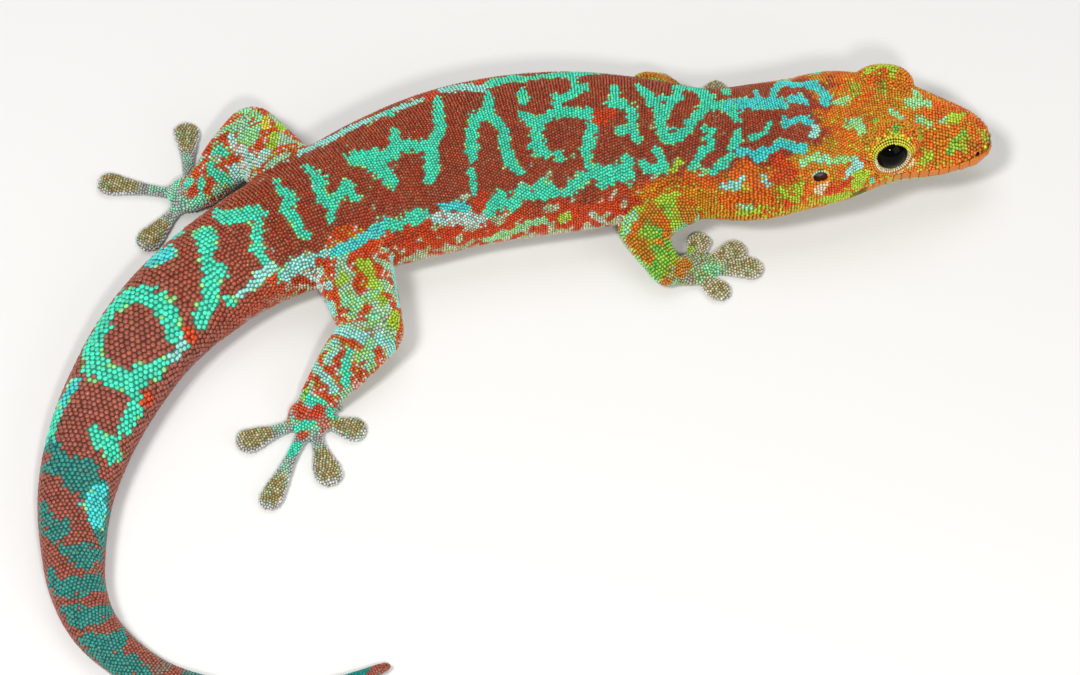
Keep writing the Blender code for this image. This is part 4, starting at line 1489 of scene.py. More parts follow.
def toe_ground(places, share, pad_start, turn, arm):
    """Grey and mint stalks, and pads with an olive middle inside a pale rim."""
    count = len(places)
    tints = toward(plain("grey", count), "mint", 0.3 + 0.3 * wander(places, 1.5, 9))
    tints = toward(tints, "lilac", 0.5 * ramp(abs(np.cos(turn)), 0.55, 0.9))
    if arm:
        tints = toward(tints, "lime", chance(0.35, count) * 0.6)
    pad = ramp(share, pad_start - 0.04, pad_start + 0.04)
    middle = (1 - ramp(abs(np.cos(turn)), 0.74, 0.92)) * (1 - ramp(share, 0.9, 0.97))
    centre = layered(
        plain("moss", count),
        ("ochre", chance(0.35, count) * 0.6),
        ("cream", chance(0.3, count) * 0.55),
        ("mint", chance(0.08, count) * 0.5),
    )
    rim = toward(plain("lilac", count), "pearl", 0.35 + chance(0.4, count) * 0.4)
    if arm:
        rim = toward(rim, "cream", 0.5)
        centre = toward(centre, "cream", chance(0.5, count) * 0.5)
    on_pad = rim * (1 - middle)[:, None] + centre * middle[:, None]
    tints = tints * (1 - pad)[:, None] + on_pad * pad[:, None]
    return toward(tints, "grey", 0.5 * ramp(-np.sin(turn), 0.2, 0.5))


def palm_ground(places, arm):
    """Mint and lilac palms, olive on the hands and patched with red on the feet."""
    count = len(places)
    tints = toward(plain("mint", count), "lilac", 0.4 + 0.3 * wander(places, 1.6, 11))
    if arm:
        return toward(tints, "olive", 0.45 + chance(0.3, count) * 0.4)
    return toward(tints, "red", ramp(wander(places, 2.2, 12), 0.35, 0.5) * 0.7)


def ground_tints(sites):
    """The ground colour of every scale, by the form on which it stands."""
    tints = np.zeros((len(sites["place"]), 4))
    for index, name in enumerate(FORM_NAMES):
        here = sites["form"] == index
        places = sites["place"][here]
        share = sites["along"][here]
        turn = sites["round"][here] * 2 * math.pi
        rise = sites["facing"][here][:, 2]
        arm = "arm" in name
        if name == "body":
            tints[here] = body_ground(places, share * BODY_LENGTH, turn)
        elif "toe" in name:
            limb, number = name.split("_toe_")
            palm, _, pads = FEET[limb]
            pad = pads[int(number)]
            length = toe_sections(palm, pad)[2]
            tints[here] = toe_ground(places, share, 1 - 2 * pad[3] / length, turn, arm)
        elif "palm" in name or "heel" in name:
            tints[here] = palm_ground(places, arm)
        elif arm:
            tints[here] = arm_ground(places, rise)
        else:
            tints[here] = leg_ground(places, rise)
    return tints


sites["tint"] = ground_tints(sites)
print("paints:", len(PAINTS))

# %% [markdown]
# Markings.
#
# The turquoise net on this gecko is its own, like a fingerprint, so the marks are drawn one by one. Each is
# a brush stroke: its paint, then points with half widths, all in pixels of the photograph, as an artist
# would trace them. Rays from the camera carry the strokes onto the skin.

# %% Strokes on the trunk
TRUNK_MARKS = [
    ("sky", (300, 153, 3), (328, 140, 4), (360, 124, 3), (387, 113, 2.5), (413, 103, 2.5), (428, 98, 2)),
    ("sky", (437, 93, 3), (443, 90, 4.5), (460, 87, 4.5), (485, 88, 4.5), (493, 82, 5)),
    ("turquoise", (492, 83, 5), (513, 78, 5), (524, 80, 3), (546, 76, 2.5), (571, 74, 4), (600, 74, 2)),
    ("turquoise", (437, 97, 3), (439, 114, 5.5), (440, 131, 5), (431, 146, 6), (413, 146, 5),
        (399, 146, 6.5)),
    ("turquoise", (399, 146, 6), (387, 156, 7), (371, 158, 8), (354, 158, 7)),
    ("turquoise", (371, 160, 7), (378, 167, 8), (394, 183, 5)),
    ("turquoise", (394, 131, 3), (397, 142, 5), (391, 152, 5)),
    ("turquoise", (392, 115, 2.5), (389, 112, 2.5)),
    ("turquoise", (428, 148, 6), (431, 160, 6), (431, 168, 7.5), (429, 181, 4.5)),
    ("turquoise", (487, 92, 2.5), (490, 101, 4.5), (487, 113, 6.5), (476, 118, 5), (471, 135, 5),
        (471, 149, 5.5), (472, 160, 3.5)),
    ("turquoise", (472, 170, 3), (474, 192, 3)),
    ("turquoise", (487, 114, 6), (496, 121, 4), (504, 130, 4.5), (505, 149, 5), (510, 162, 5),
        (519, 171, 4)),
    ("turquoise", (522, 92, 4.5), (523, 102, 4)),
    ("turquoise", (521, 114, 3.5), (531, 121, 5), (540, 122, 5.5), (553, 114, 5), (571, 112, 4.5),
        (590, 114, 5), (594, 123, 4)),
    ("turquoise", (593, 122, 4), (589, 137, 5.5), (587, 149, 5.5), (587, 164, 3), (592, 171, 5)),
    ("turquoise", (537, 124, 5), (537, 140, 6), (539, 148, 7), (546, 153, 4)),
    ("turquoise", (558, 154, 4), (560, 157, 4)),
    ("turquoise", (555, 96, 3.5), (558, 103, 4), (558, 112, 4)),
    ("turquoise", (558, 100, 3.5), (571, 94, 4), (583, 87, 4.5)),
    ("turquoise", (571, 74, 4), (574, 83, 3.5), (576, 92, 4)),
    ("turquoise", (614, 89, 4), (615, 102, 6.5), (628, 107, 5), (633, 114, 5), (632, 128, 5),
        (619, 131, 4)),
    ("turquoise", (630, 128, 4), (638, 138, 4)),
    ("turquoise", (305, 166, 2.5), (312, 172, 4), (319, 181, 6.5), (319, 190, 5), (324, 199, 5.5),
        (330, 204, 6)),
    ("turquoise", (330, 204, 6), (331, 214, 5), (331, 221, 3)),
    ("turquoise", (333, 201, 4), (340, 193, 4), (347, 188, 7.5), (352, 195, 6), (357, 199, 2.5)),
    ("turquoise", (276, 179, 2.5), (281, 189, 4), (290, 198, 6.5), (287, 209, 6), (296, 221, 5),
        (302, 233, 4.5), (309, 236, 3)),
    ("turquoise", (217, 212, 4), (224, 217, 6), (240, 216, 7), (254, 213, 7), (264, 214, 4)),
    ("turquoise", (258, 216, 5), (258, 228, 5), (256, 246, 5.5), (264, 258, 5), (272, 270, 5),
        (283, 278, 5)),
    ("sky", (272, 268, 4.5), (261, 275, 5), (250, 287, 5), (240, 295, 4)),
    ("turquoise", (228, 298, 4), (233, 303, 3)),
    ("sky", (286, 277, 5), (297, 264, 7), (307, 262, 6), (316, 257, 4.5), (325, 254, 4.5), (336, 252, 5)),
    ("cyan", (336, 252, 5), (350, 246, 6), (360, 242, 5), (370, 235, 5), (380, 229, 8), (390, 226, 7)),
    ("turquoise", (390, 227, 6), (404, 223, 6), (417, 216, 6), (429, 216, 4)),
    ("cyan", (441, 206, 3.5), (446, 208, 5), (460, 206, 4), (467, 209, 3.5)),
    ("pearl", (427, 219, 3.5), (440, 217, 5.5), (452, 218, 6), (466, 219, 6), (480, 220, 6), (490, 214, 3)),
    ("turquoise", (488, 214, 4), (492, 206, 6), (503, 199, 7.5), (512, 206, 4.5), (524, 191, 6),
        (532, 196, 4)),
    ("turquoise", (532, 195, 4), (543, 190, 9), (556, 192, 5), (566, 194, 3.5), (574, 184, 6),
        (588, 175, 5)),
    ("turquoise", (592, 171, 5), (604, 172, 6), (612, 181, 4), (619, 166, 5), (625, 176, 7), (627, 160, 5)),
    ("turquoise", (643, 163, 4), (650, 169, 5), (663, 168, 5), (661, 156, 4), (656, 150, 3)),
    ("turquoise", (610, 171, 6), (603, 183, 5)),
]
FLANK_SPOTS = [
    ("red", (428, 98, 4), (436, 93, 4)),
    ("red", (479, 82, 4), (485, 80, 3)),
    ("red", (374, 243, 3.5), (366, 249, 4), (358, 255, 5)),
    ("red", (390, 236, 4), (384, 242, 4)),
    ("red", (409, 232, 5)),
    ("red", (427, 227, 5), (420, 232, 4)),
    ("red", (325, 261, 3.5), (318, 263, 3)),
    ("red", (274, 279, 4)),
    ("red", (603, 118, 8), (613, 112, 4)),
    ("red", (479, 203, 6), (483, 197, 4)),
    ("mint", (486, 240, 3), (500, 236, 3), (512, 232, 3), (530, 223, 3), (545, 221, 3)),
    ("lime", (562, 218, 4), (568, 216, 3)),
]

# %% Strokes on the neck
NECK_MARKS = [
    ("turquoise", (638, 86, 3), (648, 95, 4.5), (655, 103, 6), (658, 112, 4), (660, 123, 4.5),
        (665, 136, 6)),
    ("turquoise", (665, 137, 5.5), (675, 138, 6), (686, 130, 4.5), (694, 118, 4.5), (703, 108, 5),
        (708, 101, 5)),
    ("turquoise", (676, 88, 3.5), (678, 96, 5), (670, 103, 4.5), (666, 111, 4), (663, 120, 4)),
    ("turquoise", (658, 98, 2.5), (668, 98, 2.5)),
    ("turquoise", (676, 88, 3), (688, 88, 3), (699, 91, 5), (706, 97, 6), (716, 105, 5), (729, 108, 6)),
    ("cyan", (729, 108, 6), (743, 103, 5), (759, 103, 6), (779, 103, 6), (784, 104, 4)),
    ("turquoise", (733, 110, 5), (736, 120, 3)),
    ("cyan", (756, 93, 2.5), (758, 99, 3)),
    ("turquoise", (726, 92, 4), (738, 86, 3), (749, 85, 2)),
    ("cyan", (774, 97, 3), (774, 90, 3.5), (781, 83, 4), (796, 85, 3), (813, 85, 4.5), (821, 91, 4),
        (827, 101, 4.5)),
    ("turquoise", (819, 73, 3), (813, 74, 2)),
    ("mint", (845, 100, 4.5), (836, 103, 2.5)),
    ("cyan", (791, 98, 3.5), (799, 98, 4), (806, 102, 3)),
    ("cyan", (784, 118, 2.5), (785, 124, 4), (793, 122, 3), (801, 118, 4), (809, 121, 4)),
    ("sky", (815, 127, 3), (814, 136, 3)),
    ("turquoise", (770, 123, 2), (767, 130, 2.5), (759, 136, 2.5), (751, 138, 3)),
    ("turquoise", (738, 131, 2.5), (739, 138, 4), (733, 143, 3.5), (731, 150, 3)),
    ("turquoise", (704, 129, 3), (712, 131, 3), (708, 138, 4), (712, 146, 3), (702, 150, 4),
        (696, 163, 4), (692, 168, 4)),
    ("mint", (704, 171, 3), (700, 176, 2)),
    ("cyan", (739, 151, 4), (749, 153, 3.5), (760, 156, 5), (771, 149, 4), (780, 143, 4), (788, 146, 4),
        (802, 148, 5)),
    ("turquoise", (731, 156, 3.5), (723, 164, 4), (713, 171, 4)),
    ("lime", (680, 163, 3.5), (672, 170, 2.5)),
    ("orange", (690, 176, 5), (704, 184, 4)),
    ("orange", (743, 166, 6), (752, 176, 6), (736, 174, 5)),
    ("red", (778, 162, 7), (790, 172, 6), (776, 178, 5)),
    ("sky", (724, 186, 3), (736, 186, 4), (744, 178, 2)),
    ("sky", (765, 177, 3), (768, 185, 3)),
    ("mint", (741, 206, 4), (748, 208, 4)),
    ("lime", (780, 190, 3), (788, 196, 3)),
    ("lime", (738, 214, 3), (752, 214, 3), (764, 204, 3)),
    ("amber", (716, 206, 4), (732, 218, 4), (756, 218, 4)),
    ("orange", (724, 200, 5), (760, 196, 5), (775, 204, 4)),
]

# %% Strokes on the head
HEAD_MARKS = [
    ("mint", (804, 163, 4), (812, 158, 3.5), (820, 157, 3.5), (831, 161, 4), (844, 159, 4),
        (854, 159, 3.5)),
    ("sky", (855, 160, 3.5), (860, 165, 4), (850, 171, 4), (847, 177, 3)),
    ("lime", (856, 176, 5), (866, 175, 4), (854, 184, 4), (862, 182, 3.5)),
    ("turquoise", (872, 180, 3)),
    ("lime", (827, 200, 4), (844, 196, 4), (860, 192, 3.5), (872, 188, 2.5)),
    ("red", (827, 192, 4), (842, 187, 4), (852, 178, 2)),
    ("lime", (796, 198, 4), (801, 185, 4), (798, 192, 3)),
    ("cream", (820, 189, 4), (826, 184, 2)),
    ("orange", (808, 186, 4), (808, 194, 4)),
    ("lime", (867, 72, 3), (875, 68, 2), (884, 65, 3), (893, 69, 4), (892, 76, 2.5)),
    ("cream", (900, 64, 2), (903, 68, 2)),
    ("olive", (881, 85, 4), (883, 91, 4)),
    ("olive", (854, 86, 5), (857, 93, 4)),
    ("mint", (914, 92, 3), (921, 89, 2.5), (921, 97, 3)),
    ("mint", (909, 103, 5), (917, 103, 4.5), (929, 103, 4)),
    ("mint", (892, 112, 3), (902, 118, 3)),
    ("mint", (920, 120, 4), (928, 124, 3.5)),
    ("mint", (944, 121, 4.5)),
    ("lime", (950, 119, 4), (956, 118, 4), (963, 116, 3)),
    ("mint", (849, 125, 4.5), (859, 121, 3.5), (862, 130, 4)),
    ("leaf", (876, 121, 3)),
    ("leaf", (895, 130, 5.5)),
    ("olive", (919, 130, 3), (920, 138, 3.5)),
    ("leaf", (964, 133, 3.5), (959, 141, 5), (951, 150, 4.5)),
    ("olive", (965, 139, 4), (963, 149, 4)),
    ("lime", (929, 155, 4.5), (924, 159, 4)),
    ("cream", (910, 162, 4), (905, 166, 3)),
    ("olive", (984, 134, 4), (985, 140, 3)),
    ("yellow", (988, 146, 4)),
    ("yellow", (880, 150, 2.5), (883, 140, 4.5), (892, 138, 4.5), (902, 140, 4.5), (909, 147, 3.5)),
    ("cream", (878, 164, 2), (884, 170, 2), (893, 173, 2), (901, 170, 2), (909, 162, 2)),
]

# %% Strokes on the tail
TAIL_MARKS = [
    ("turquoise", (198, 234, 5), (207, 236, 8), (206, 250, 7), (206, 263, 5), (218, 273, 8), (210, 283, 6)),
    ("turquoise", (210, 284, 6), (210, 295, 8), (205, 311, 8), (201, 321, 7)),
    ("cyan", (154, 260, 7), (162, 256, 7), (167, 253, 7)),
    ("cyan", (174, 238, 2.5), (182, 232, 2.5)),
    ("turquoise", (100, 325, 5), (111, 310, 5), (125, 298, 7), (142, 293, 8), (156, 300, 9), (169, 312, 9)),
    ("turquoise", (169, 313, 8), (172, 326, 7), (176, 336, 6.5), (183, 343, 6)),
    ("sky", (182, 344, 5), (177, 354, 3.5), (172, 360, 3)),
    ("turquoise", (109, 314, 4.5), (101, 329, 5.5), (91, 347, 8), (93, 361, 8), (101, 371, 9.5),
        (114, 380, 8)),
    ("turquoise", (114, 380, 8), (129, 380, 9), (143, 374, 8), (154, 371, 6.5), (164, 363, 5)),
    ("cyan", (74, 384, 5), (67, 397, 4), (60, 410, 3.5), (56, 421, 3), (51, 436, 5), (50, 448, 6)),
    ("turquoise", (84, 343, 6), (66, 380, 6), (56, 412, 6), (48, 444, 6)),
    ("teal", (84, 466, 7), (98, 488, 8), (103, 515, 7), (103, 542, 5)),
    ("teal", (50, 448, 6), (59, 457, 7), (64, 468, 9), (73, 479, 7.5), (85, 488, 8), (95, 493, 8)),
    ("turquoise", (133, 390, 5), (138, 404, 6), (131, 417, 7), (126, 428, 6), (121, 434, 3.5)),
    ("turquoise", (93, 429, 3.5), (93, 437, 5), (101, 441, 8), (110, 448, 8), (114, 456, 6)),
    ("teal", (46, 468, 5), (60, 468, 8)),
    ("cyan", (104, 488, 4), (97, 497, 7), (92, 503, 7), (95, 514, 7), (97, 523, 5), (104, 508, 3)),
    ("teal", (44, 504, 3), (44, 516, 5), (51, 526, 8), (62, 528, 6), (55, 537, 4)),
    ("teal", (62, 549, 4), (72, 552, 7), (85, 556, 10), (97, 556, 6)),
    ("teal", (50, 573, 3), (54, 583, 5), (65, 588, 8), (81, 586, 8), (98, 583, 7)),
    ("teal", (66, 611, 5), (81, 617, 9), (95, 616, 8), (107, 611, 5)),
    ("teal", (84, 640, 5), (99, 646, 10), (113, 642, 9), (120, 635, 5)),
    ("teal", (99, 650, 9), (111, 660, 9), (125, 668, 9), (132, 660, 6), (143, 672, 5)),
    ("red", (148, 400, 5)),
    ("red", (188, 330, 4), (193, 340, 4)),
]

# %% Strokes on the limbs
LEG_MARKS = [
    ("lime", (364, 266, 6), (372, 277, 5), (377, 291, 5), (383, 303, 3)),
    ("mint", (346, 299, 4), (357, 303, 5), (368, 297, 3), (376, 292, 4)),
    ("mint", (356, 305, 4), (353, 314, 4)),
    ("mint", (374, 317, 5)),
    ("sky", (391, 257, 3), (394, 270, 3), (397, 290, 3.5), (398, 306, 2)),
    ("lime", (394, 323, 5), (396, 314, 3)),
    ("sky", (337, 330, 4), (348, 332, 4), (362, 336, 5), (370, 343, 5), (379, 340, 5), (392, 345, 4)),
    ("mint", (370, 343, 4), (368, 353, 5), (359, 356, 4)),
    ("mint", (369, 353, 4), (370, 366, 4)),
    ("sky", (390, 352, 4), (393, 346, 3)),
    ("pearl", (314, 277, 5), (319, 274, 4)),
    ("pearl", (320, 288, 3.5), (330, 285, 3)),
    ("sky", (329, 306, 6), (333, 312, 4)),
    ("lime", (344, 278, 4), (338, 283, 3)),
    ("turquoise", (349, 352, 3.5), (346, 365, 4), (346, 381, 4)),
    ("sky", (323, 347, 4), (333, 343, 3)),
    ("sky", (313, 356, 4), (327, 358, 3.5), (336, 352, 2.5)),
    ("sky", (305, 368, 5), (315, 366, 4), (322, 374, 3), (330, 384, 3.5), (335, 390, 4)),
    ("sky", (295, 379, 5), (291, 386, 4)),
    ("leaf", (302, 391, 4.5), (308, 396, 4)),
    ("turquoise", (308, 397, 3.5), (313, 402, 4), (323, 403, 3.5)),
    ("turquoise", (298, 427, 4), (304, 424, 4), (311, 420, 4)),
    ("red", (299, 409, 6), (304, 414, 5)),
    ("red", (318, 411, 5), (314, 416, 4)),
    ("red", (301, 435, 3)),
    ("orange", (288, 401, 3.5), (282, 406, 3)),
    ("turquoise", (296, 446, 4), (290, 455, 3)),
    ("mint", (279, 413, 4), (270, 420, 4)),
    ("turquoise", (331, 410, 4), (333, 416, 3)),
    ("mint", (241, 111, 3), (250, 111, 3.5), (257, 117, 4.5)),
    ("lime", (277, 119, 3.5), (280, 127, 4.5), (288, 128, 5), (294, 131, 4), (301, 137, 3),
        (311, 140, 2.5)),
    ("yellow", (264, 126, 4), (266, 118, 2)),
    ("lime", (274, 138, 4), (271, 146, 4)),
    ("pearl", (266, 153, 4), (259, 163, 3.5)),
    ("mint", (254, 129, 5), (252, 133, 7), (247, 139, 6)),
    ("pearl", (232, 139, 3.5), (237, 146, 4), (241, 151, 4), (248, 159, 6)),
    ("mint", (233, 127, 4), (227, 130, 3)),
    ("turquoise", (219, 150, 5), (225, 152, 4)),
    ("pearl", (242, 172, 9), (237, 179, 8)),
    ("turquoise", (210, 165, 3.5), (214, 173, 5), (222, 178, 4), (230, 181, 3)),
    ("turquoise", (201, 181, 3.5), (201, 190, 3)),
    ("turquoise", (189, 182, 4)),
    ("red", (194, 190, 4), (192, 196, 3)),
]
ARM_MARKS = [
    ("orange", (653, 212, 7), (652, 219, 6), (640, 221, 4)),
    ("orange", (683, 205, 5), (689, 214, 5), (692, 222, 4)),
    ("orange", (663, 232, 5), (670, 236, 5)),
    ("amber", (693, 192, 6), (702, 199, 5), (708, 206, 4)),
    ("leaf", (668, 206, 4), (669, 214, 4)),
    ("leaf", (650, 231, 6), (658, 233, 4)),
    ("lime", (672, 196, 5), (662, 200, 5)),
    ("mint", (633, 214, 3.5), (627, 222, 3.5), (625, 236, 3)),
    ("lime", (706, 222, 4), (702, 228, 3)),
    ("leaf", (659, 252, 6), (662, 262, 6), (655, 272, 6)),
    ("leaf", (670, 245, 6), (672, 252, 5)),
    ("orange", (636, 243, 6), (645, 252, 6), (651, 256, 4)),
    ("orange", (664, 283, 3), (670, 280, 3)),
    ("sky", (629, 253, 3), (635, 263, 3), (642, 274, 3), (653, 286, 3.5), (672, 289, 3.5)),
    ("orange", (686, 263, 5), (680, 272, 4)),
    ("lime", (683, 254, 4), (690, 250, 3)),
    ("mint", (714, 270, 5), (705, 268, 3)),
    ("lime", (655, 78, 3), (662, 76, 3)),
    ("orange", (645, 75, 3), (671, 80, 2.5)),
]
# Each group of strokes with the share by which its half widths grow on the skin.
MARK_GROUPS = [
    (TRUNK_MARKS + FLANK_SPOTS + NECK_MARKS, 1.22),
    (HEAD_MARKS, 1.12),
    (TAIL_MARKS, 1.3),
    (LEG_MARKS + ARM_MARKS, 1.35),
]
print("strokes:", sum(len(marks) for marks, _ in MARK_GROUPS))

# %% [markdown]
# Laying the strokes on.
#
# A scale takes a stroke's paint when it is nearer to the stroke than the half width there. The distance is
# measured mostly as the camera sees it, partly along the skin, so that a mark near the outline keeps its
# look in this view without smearing round the body. The flank that the camera can't see wears the same
# net, mirrored and moved along a little.

# %% Paint the strokes
SEEN_SHARE = 0.85
EDGE_ON = 0.02
SIGHT_LIFT = 0.25
EDGE_WANDER = 0.2
FRINGE = 0.24
FRINGE_CHANCE = 0.45
FAR_SHIFT = 1.6
STRONGEST_PAINT = 0.95
PAINT_SPREAD = 0.12
LIGHT_SPREAD = 0.42
PAINT_NAMES = list(PAINTS)


def photo_place(places):
    """Where places of the drawing appear, in pixels of the photograph."""
    offset = places - CAMERA_PLACE
    scale = CAMERA_DISTANCE / PIXEL / -(offset @ CAMERA_BACK)
    x = PHOTO_WIDTH / 2 + offset[:, 0] * scale
    y = PHOTO_HEIGHT / 2 - offset @ CAMERA_UP * scale
    return np.column_stack([x, y])


def seen_by_camera(sites):
    """Scales that face the camera with nothing of the body in the way."""
    seen = sites["facing"] @ CAMERA_BACK > EDGE_ON
    for index in np.flatnonzero(seen):
        start = sites["place"][index] + sites["facing"][index] * SIGHT_LIFT
        seen[index] = skin_tree.ray_cast(start, CAMERA_PLACE - start)[0] is None
    return seen


def on_skin(mark, widening):
    """The stroke's points on the skin with their half widths in millimetres, leaving out those that miss."""
    points = []
    for x, y, half_width in mark[1:]:
        hit = skin_tree.ray_cast(CAMERA_PLACE, photo_ray(x, y))[0]
        if hit is not None:
            points.append((*hit, half_width * widening * PIXEL))
    return np.array(points)


def cover_of(points, places, flat_places, seen_share):
    """How deep in a stroke each place lies: 1 on its middle line, 0 at its edge and below 0 outside it."""
    if len(points) == 1:
        points = np.repeat(points, 2, axis=0)
    flat = photo_place(points[:, :3]) * PIXEL
    cover = np.full(len(places), -1.0)
    for start, end, flat_start, flat_end in zip(points, points[1:], flat, flat[1:]):
        along = end[:3] - start[:3]
        flat_along = flat_end - flat_start
        if seen_share:
            share = (flat_places - flat_start) @ flat_along / max(flat_along @ flat_along, 1e-9)
        else:
            share = (places - start[:3]) @ along / max(along @ along, 1e-9)
        share = np.clip(share, 0.0, 1.0)[:, None]
        apart = ((places - start[:3] - share * along) ** 2).sum(axis=1)
        flat_apart = ((flat_places - flat_start - share * flat_along) ** 2).sum(axis=1)
        distance = np.sqrt(seen_share * flat_apart + (1 - seen_share) * apart)
        reach = start[3] + share[:, 0] * (end[3] - start[3])
        cover = np.maximum(cover, 1 - distance / reach)
    return cover


def mirrored(points, body_sites, body_tree):
    """The stroke on the far flank: each point goes to the same height on the other side."""
    moved = []
    for *place, reach in points:
        nearest = body_tree.find(place)[1]
        along = body_sites["along"][nearest] * BODY_LENGTH + FAR_SHIFT
        turn = math.pi - body_sites["round"][nearest] * 2 * math.pi
        hit = skin_tree.find_nearest(skin_point(along, turn))[0]
        moved.append((*hit, reach))
    return np.array(moved)


def paint_strokes(sites):
    """Every scale wears the paint of the last stroke over it. The net's outer scales are partly lime."""
    places = sites["place"]
    flat_places = photo_place(places) * PIXEL
    seen = seen_by_camera(sites)
    far_side = (sites["form"] == 0) & ~seen
    body_sites = keep(sites, (sites["form"] == 0) & (sites["facing"] @ CAMERA_BACK > 0.0))
    body_tree = tree_of(body_sites["place"])
    ragged = EDGE_WANDER * wander(places, 0.7, 21)
    worn = np.full(len(places), -1)
    depth = np.zeros((len(PAINT_NAMES), len(places)))

    def wear(mark, points, seen_share, mask):
        cover = cover_of(points, places, flat_places, seen_share)
        chosen = mask & (cover + ragged > 0)
        code = PAINT_NAMES.index(mark[0])
        worn[chosen] = code
        depth[code, chosen] = np.maximum(depth[code, chosen], cover[chosen])

    for marks, widening in MARK_GROUPS:
        for mark in marks:
            points = on_skin(mark, widening)
            if len(points):
                if marks is not MARK_GROUPS[-1][0]:
                    wear(mark, mirrored(points, body_sites, body_tree), 0.0, far_side)
                wear(mark, points, SEEN_SHARE, ~far_side)
    for code, name in enumerate(PAINT_NAMES):
        chosen = worn == code
        blend = STRONGEST_PAINT - PAINT_SPREAD * rng.random(chosen.sum())
        if name == "pearl":
            blend = blend * (1 - 0.7 * chance(0.3, len(blend)))
        tints = toward(sites["tint"][chosen], name, blend)
        if name in ("turquoise", "cyan", "sky"):
            fringe = (depth[code, chosen] < FRINGE) * chance(FRINGE_CHANCE, len(tints))
            tints = toward(tints, "lime", fringe * 0.55)
        elif name in ("mint", "leaf", "olive"):
            tints = toward(tints, "lime", chance(0.55, len(tints)) * 0.6)
        elif name == "pearl":
            tints = toward(tints, "sky", chance(0.6, len(tints)) * 0.7)
        if name in ("brick", "red", "vermilion", "orange"):
            on_arm = np.array(["arm" in form for form in FORM_NAMES])[sites["form"][chosen]]
            tints = toward(tints, "olive", 0.4 * on_arm)
        sites["tint"][chosen] = tints
    return seen


seen = paint_strokes(sites)
light = 1 + LIGHT_SPREAD * (rng.random(len(sites["place"])) - 0.5)
sites["tint"][:, :3] = np.clip(sites["tint"][:, :3] * light[:, None], 0.0, 1.0)
print("scales that the camera sees:", int(seen.sum()))

# %% [markdown]
# The coat of scales.
#
# The scales are laid as a few pieces, region by region, so that no piece grows too heavy. The head gets the
# finer bead, since that is where the eye rests. The tail and the belly get flatter plates. Roots on the
# flat map run along and round each form, so neighbours on the body are neighbours on the map.

# %% Lay every region
MAP_MARGIN = 0.03
WOBBLE = 0.07
BELLY_START = 24
BELLY_END = 76
BELLY_SINE = -0.35
BELLY_SEED = 20
LIMB_SEED = 30
FOOT_SEED = 40


def roots_of(sites):
    """Places on the flat map for the roots of one piece's scales: a cell for each form in the piece."""
    forms = np.unique(sites["form"])
    columns = math.ceil(math.sqrt(len(forms)))
    roots = np.empty((len(sites["form"]), 2))
    for cell, form in enumerate(forms):
        here = sites["form"] == form
        along = sites["along"][here]
        share = (along - along.min()) / max(np.ptp(along), 1e-6)
        local = np.column_stack([share, sites["round"][here]]) * (1 - 2 * MAP_MARGIN) + MAP_MARGIN
        roots[here] = (local + (cell % columns, cell // columns)) / columns
    return roots


def lay_region(name, mask, shape, seed):
    """One piece of the coat, from the sites that the mask picks."""
    chosen = keep(sites, mask)
    sizes = np.repeat(chosen["width"][:, None], 3, axis=1)
    place, facing, lie, tint = (chosen[field] for field in ("place", "facing", "lie", "tint"))
    piece = lay(name, place, facing, lie, sizes, tint, roots_of(chosen), shape, WOBBLE, seed)


on_body = sites["form"] == 0
distance = sites["along"] * BODY_LENGTH
under = on_body & (np.sin(sites["round"] * 2 * math.pi) < BELLY_SINE)
under &= (distance > BELLY_START) & (distance < BELLY_END)
# Each region's name, its start and end in millimetres from the snout, the shape of its scales and its slot.
REGIONS = [
    ("snout_scales", 0, 11.5, FINE_BEAD, "head_skin"),
    ("head_scales", 11.5, 21, FINE_BEAD, "head_skin"),
    ("neck_scales", 21, 34, BEAD, "back_skin"),
    ("shoulder_scales", 34, 48, BEAD, "back_skin"),
    ("back_scales", 48, 62, BEAD, "back_skin"),
    ("hip_scales", 62, 76, BEAD, "back_skin"),
    ("tail_scales", 76, 105, PLATE, "back_skin"),
    ("tail_end_scales", 105, 160, PLATE, "back_skin"),
]
for seed, (name, start, end, shape, slot) in enumerate(REGIONS):
    lay_region(name, on_body & ~under & (distance >= start) & (distance < end), shape, seed)
lay_region("belly_scales", under, BELLY_PLATE, BELLY_SEED)
limb_of = np.array([name.rsplit("_", 1)[0].split("_toe")[0] for name in FORM_NAMES])
on_foot = np.array([any(part in name for part in ("toe", "palm", "heel")) for name in FORM_NAMES])
for seed, limb in enumerate(LIMBS):
    of_limb = limb_of[sites["form"]] == limb
    foot = on_foot[sites["form"]]
    lay_region(f"{limb}_scales", of_limb & ~foot, BEAD, LIMB_SEED + seed)
    lay_region(f"{limb}_toe_scales", of_limb & foot, BEAD, FOOT_SEED + seed)

# %% [markdown]
# Round the eyes.
#
# A gecko can't blink: a clear scale covers the eye, and the rim of the lids is a thin ring, dark with
# painted shade where the ball meets the lids. Rows of the smallest beads on the head follow it, yellow-green
# above and pale below. The rows are circles round the way the eye looks, drawn down onto the skin.

# %% Beads of the lids, ears and nostrils
HEAD_ROOTS = 0.25
BEAD_OVERLAP = 1.12
SMALL_WOBBLE = 0.04
OPENING_SEED = 60
LIP_SEED = 70
RIM_SEED = 80


def lay_on_skin(name, places, ways, sizes, tints, shape, seed, facings=None):
    """Scales on given places of the head, drawn down onto the skin."""
    places, facing, _ = onto(skin_tree, places)
    if facings is not None:
        facing = unit(facing + facings)
    share = np.linspace(0.1, 0.9, len(places))
    roots = np.column_stack([share, np.full(len(places), HEAD_ROOTS)])
    piece = lay(name, places, facing, ways, sizes, tints, roots, shape, SMALL_WOBBLE, seed)


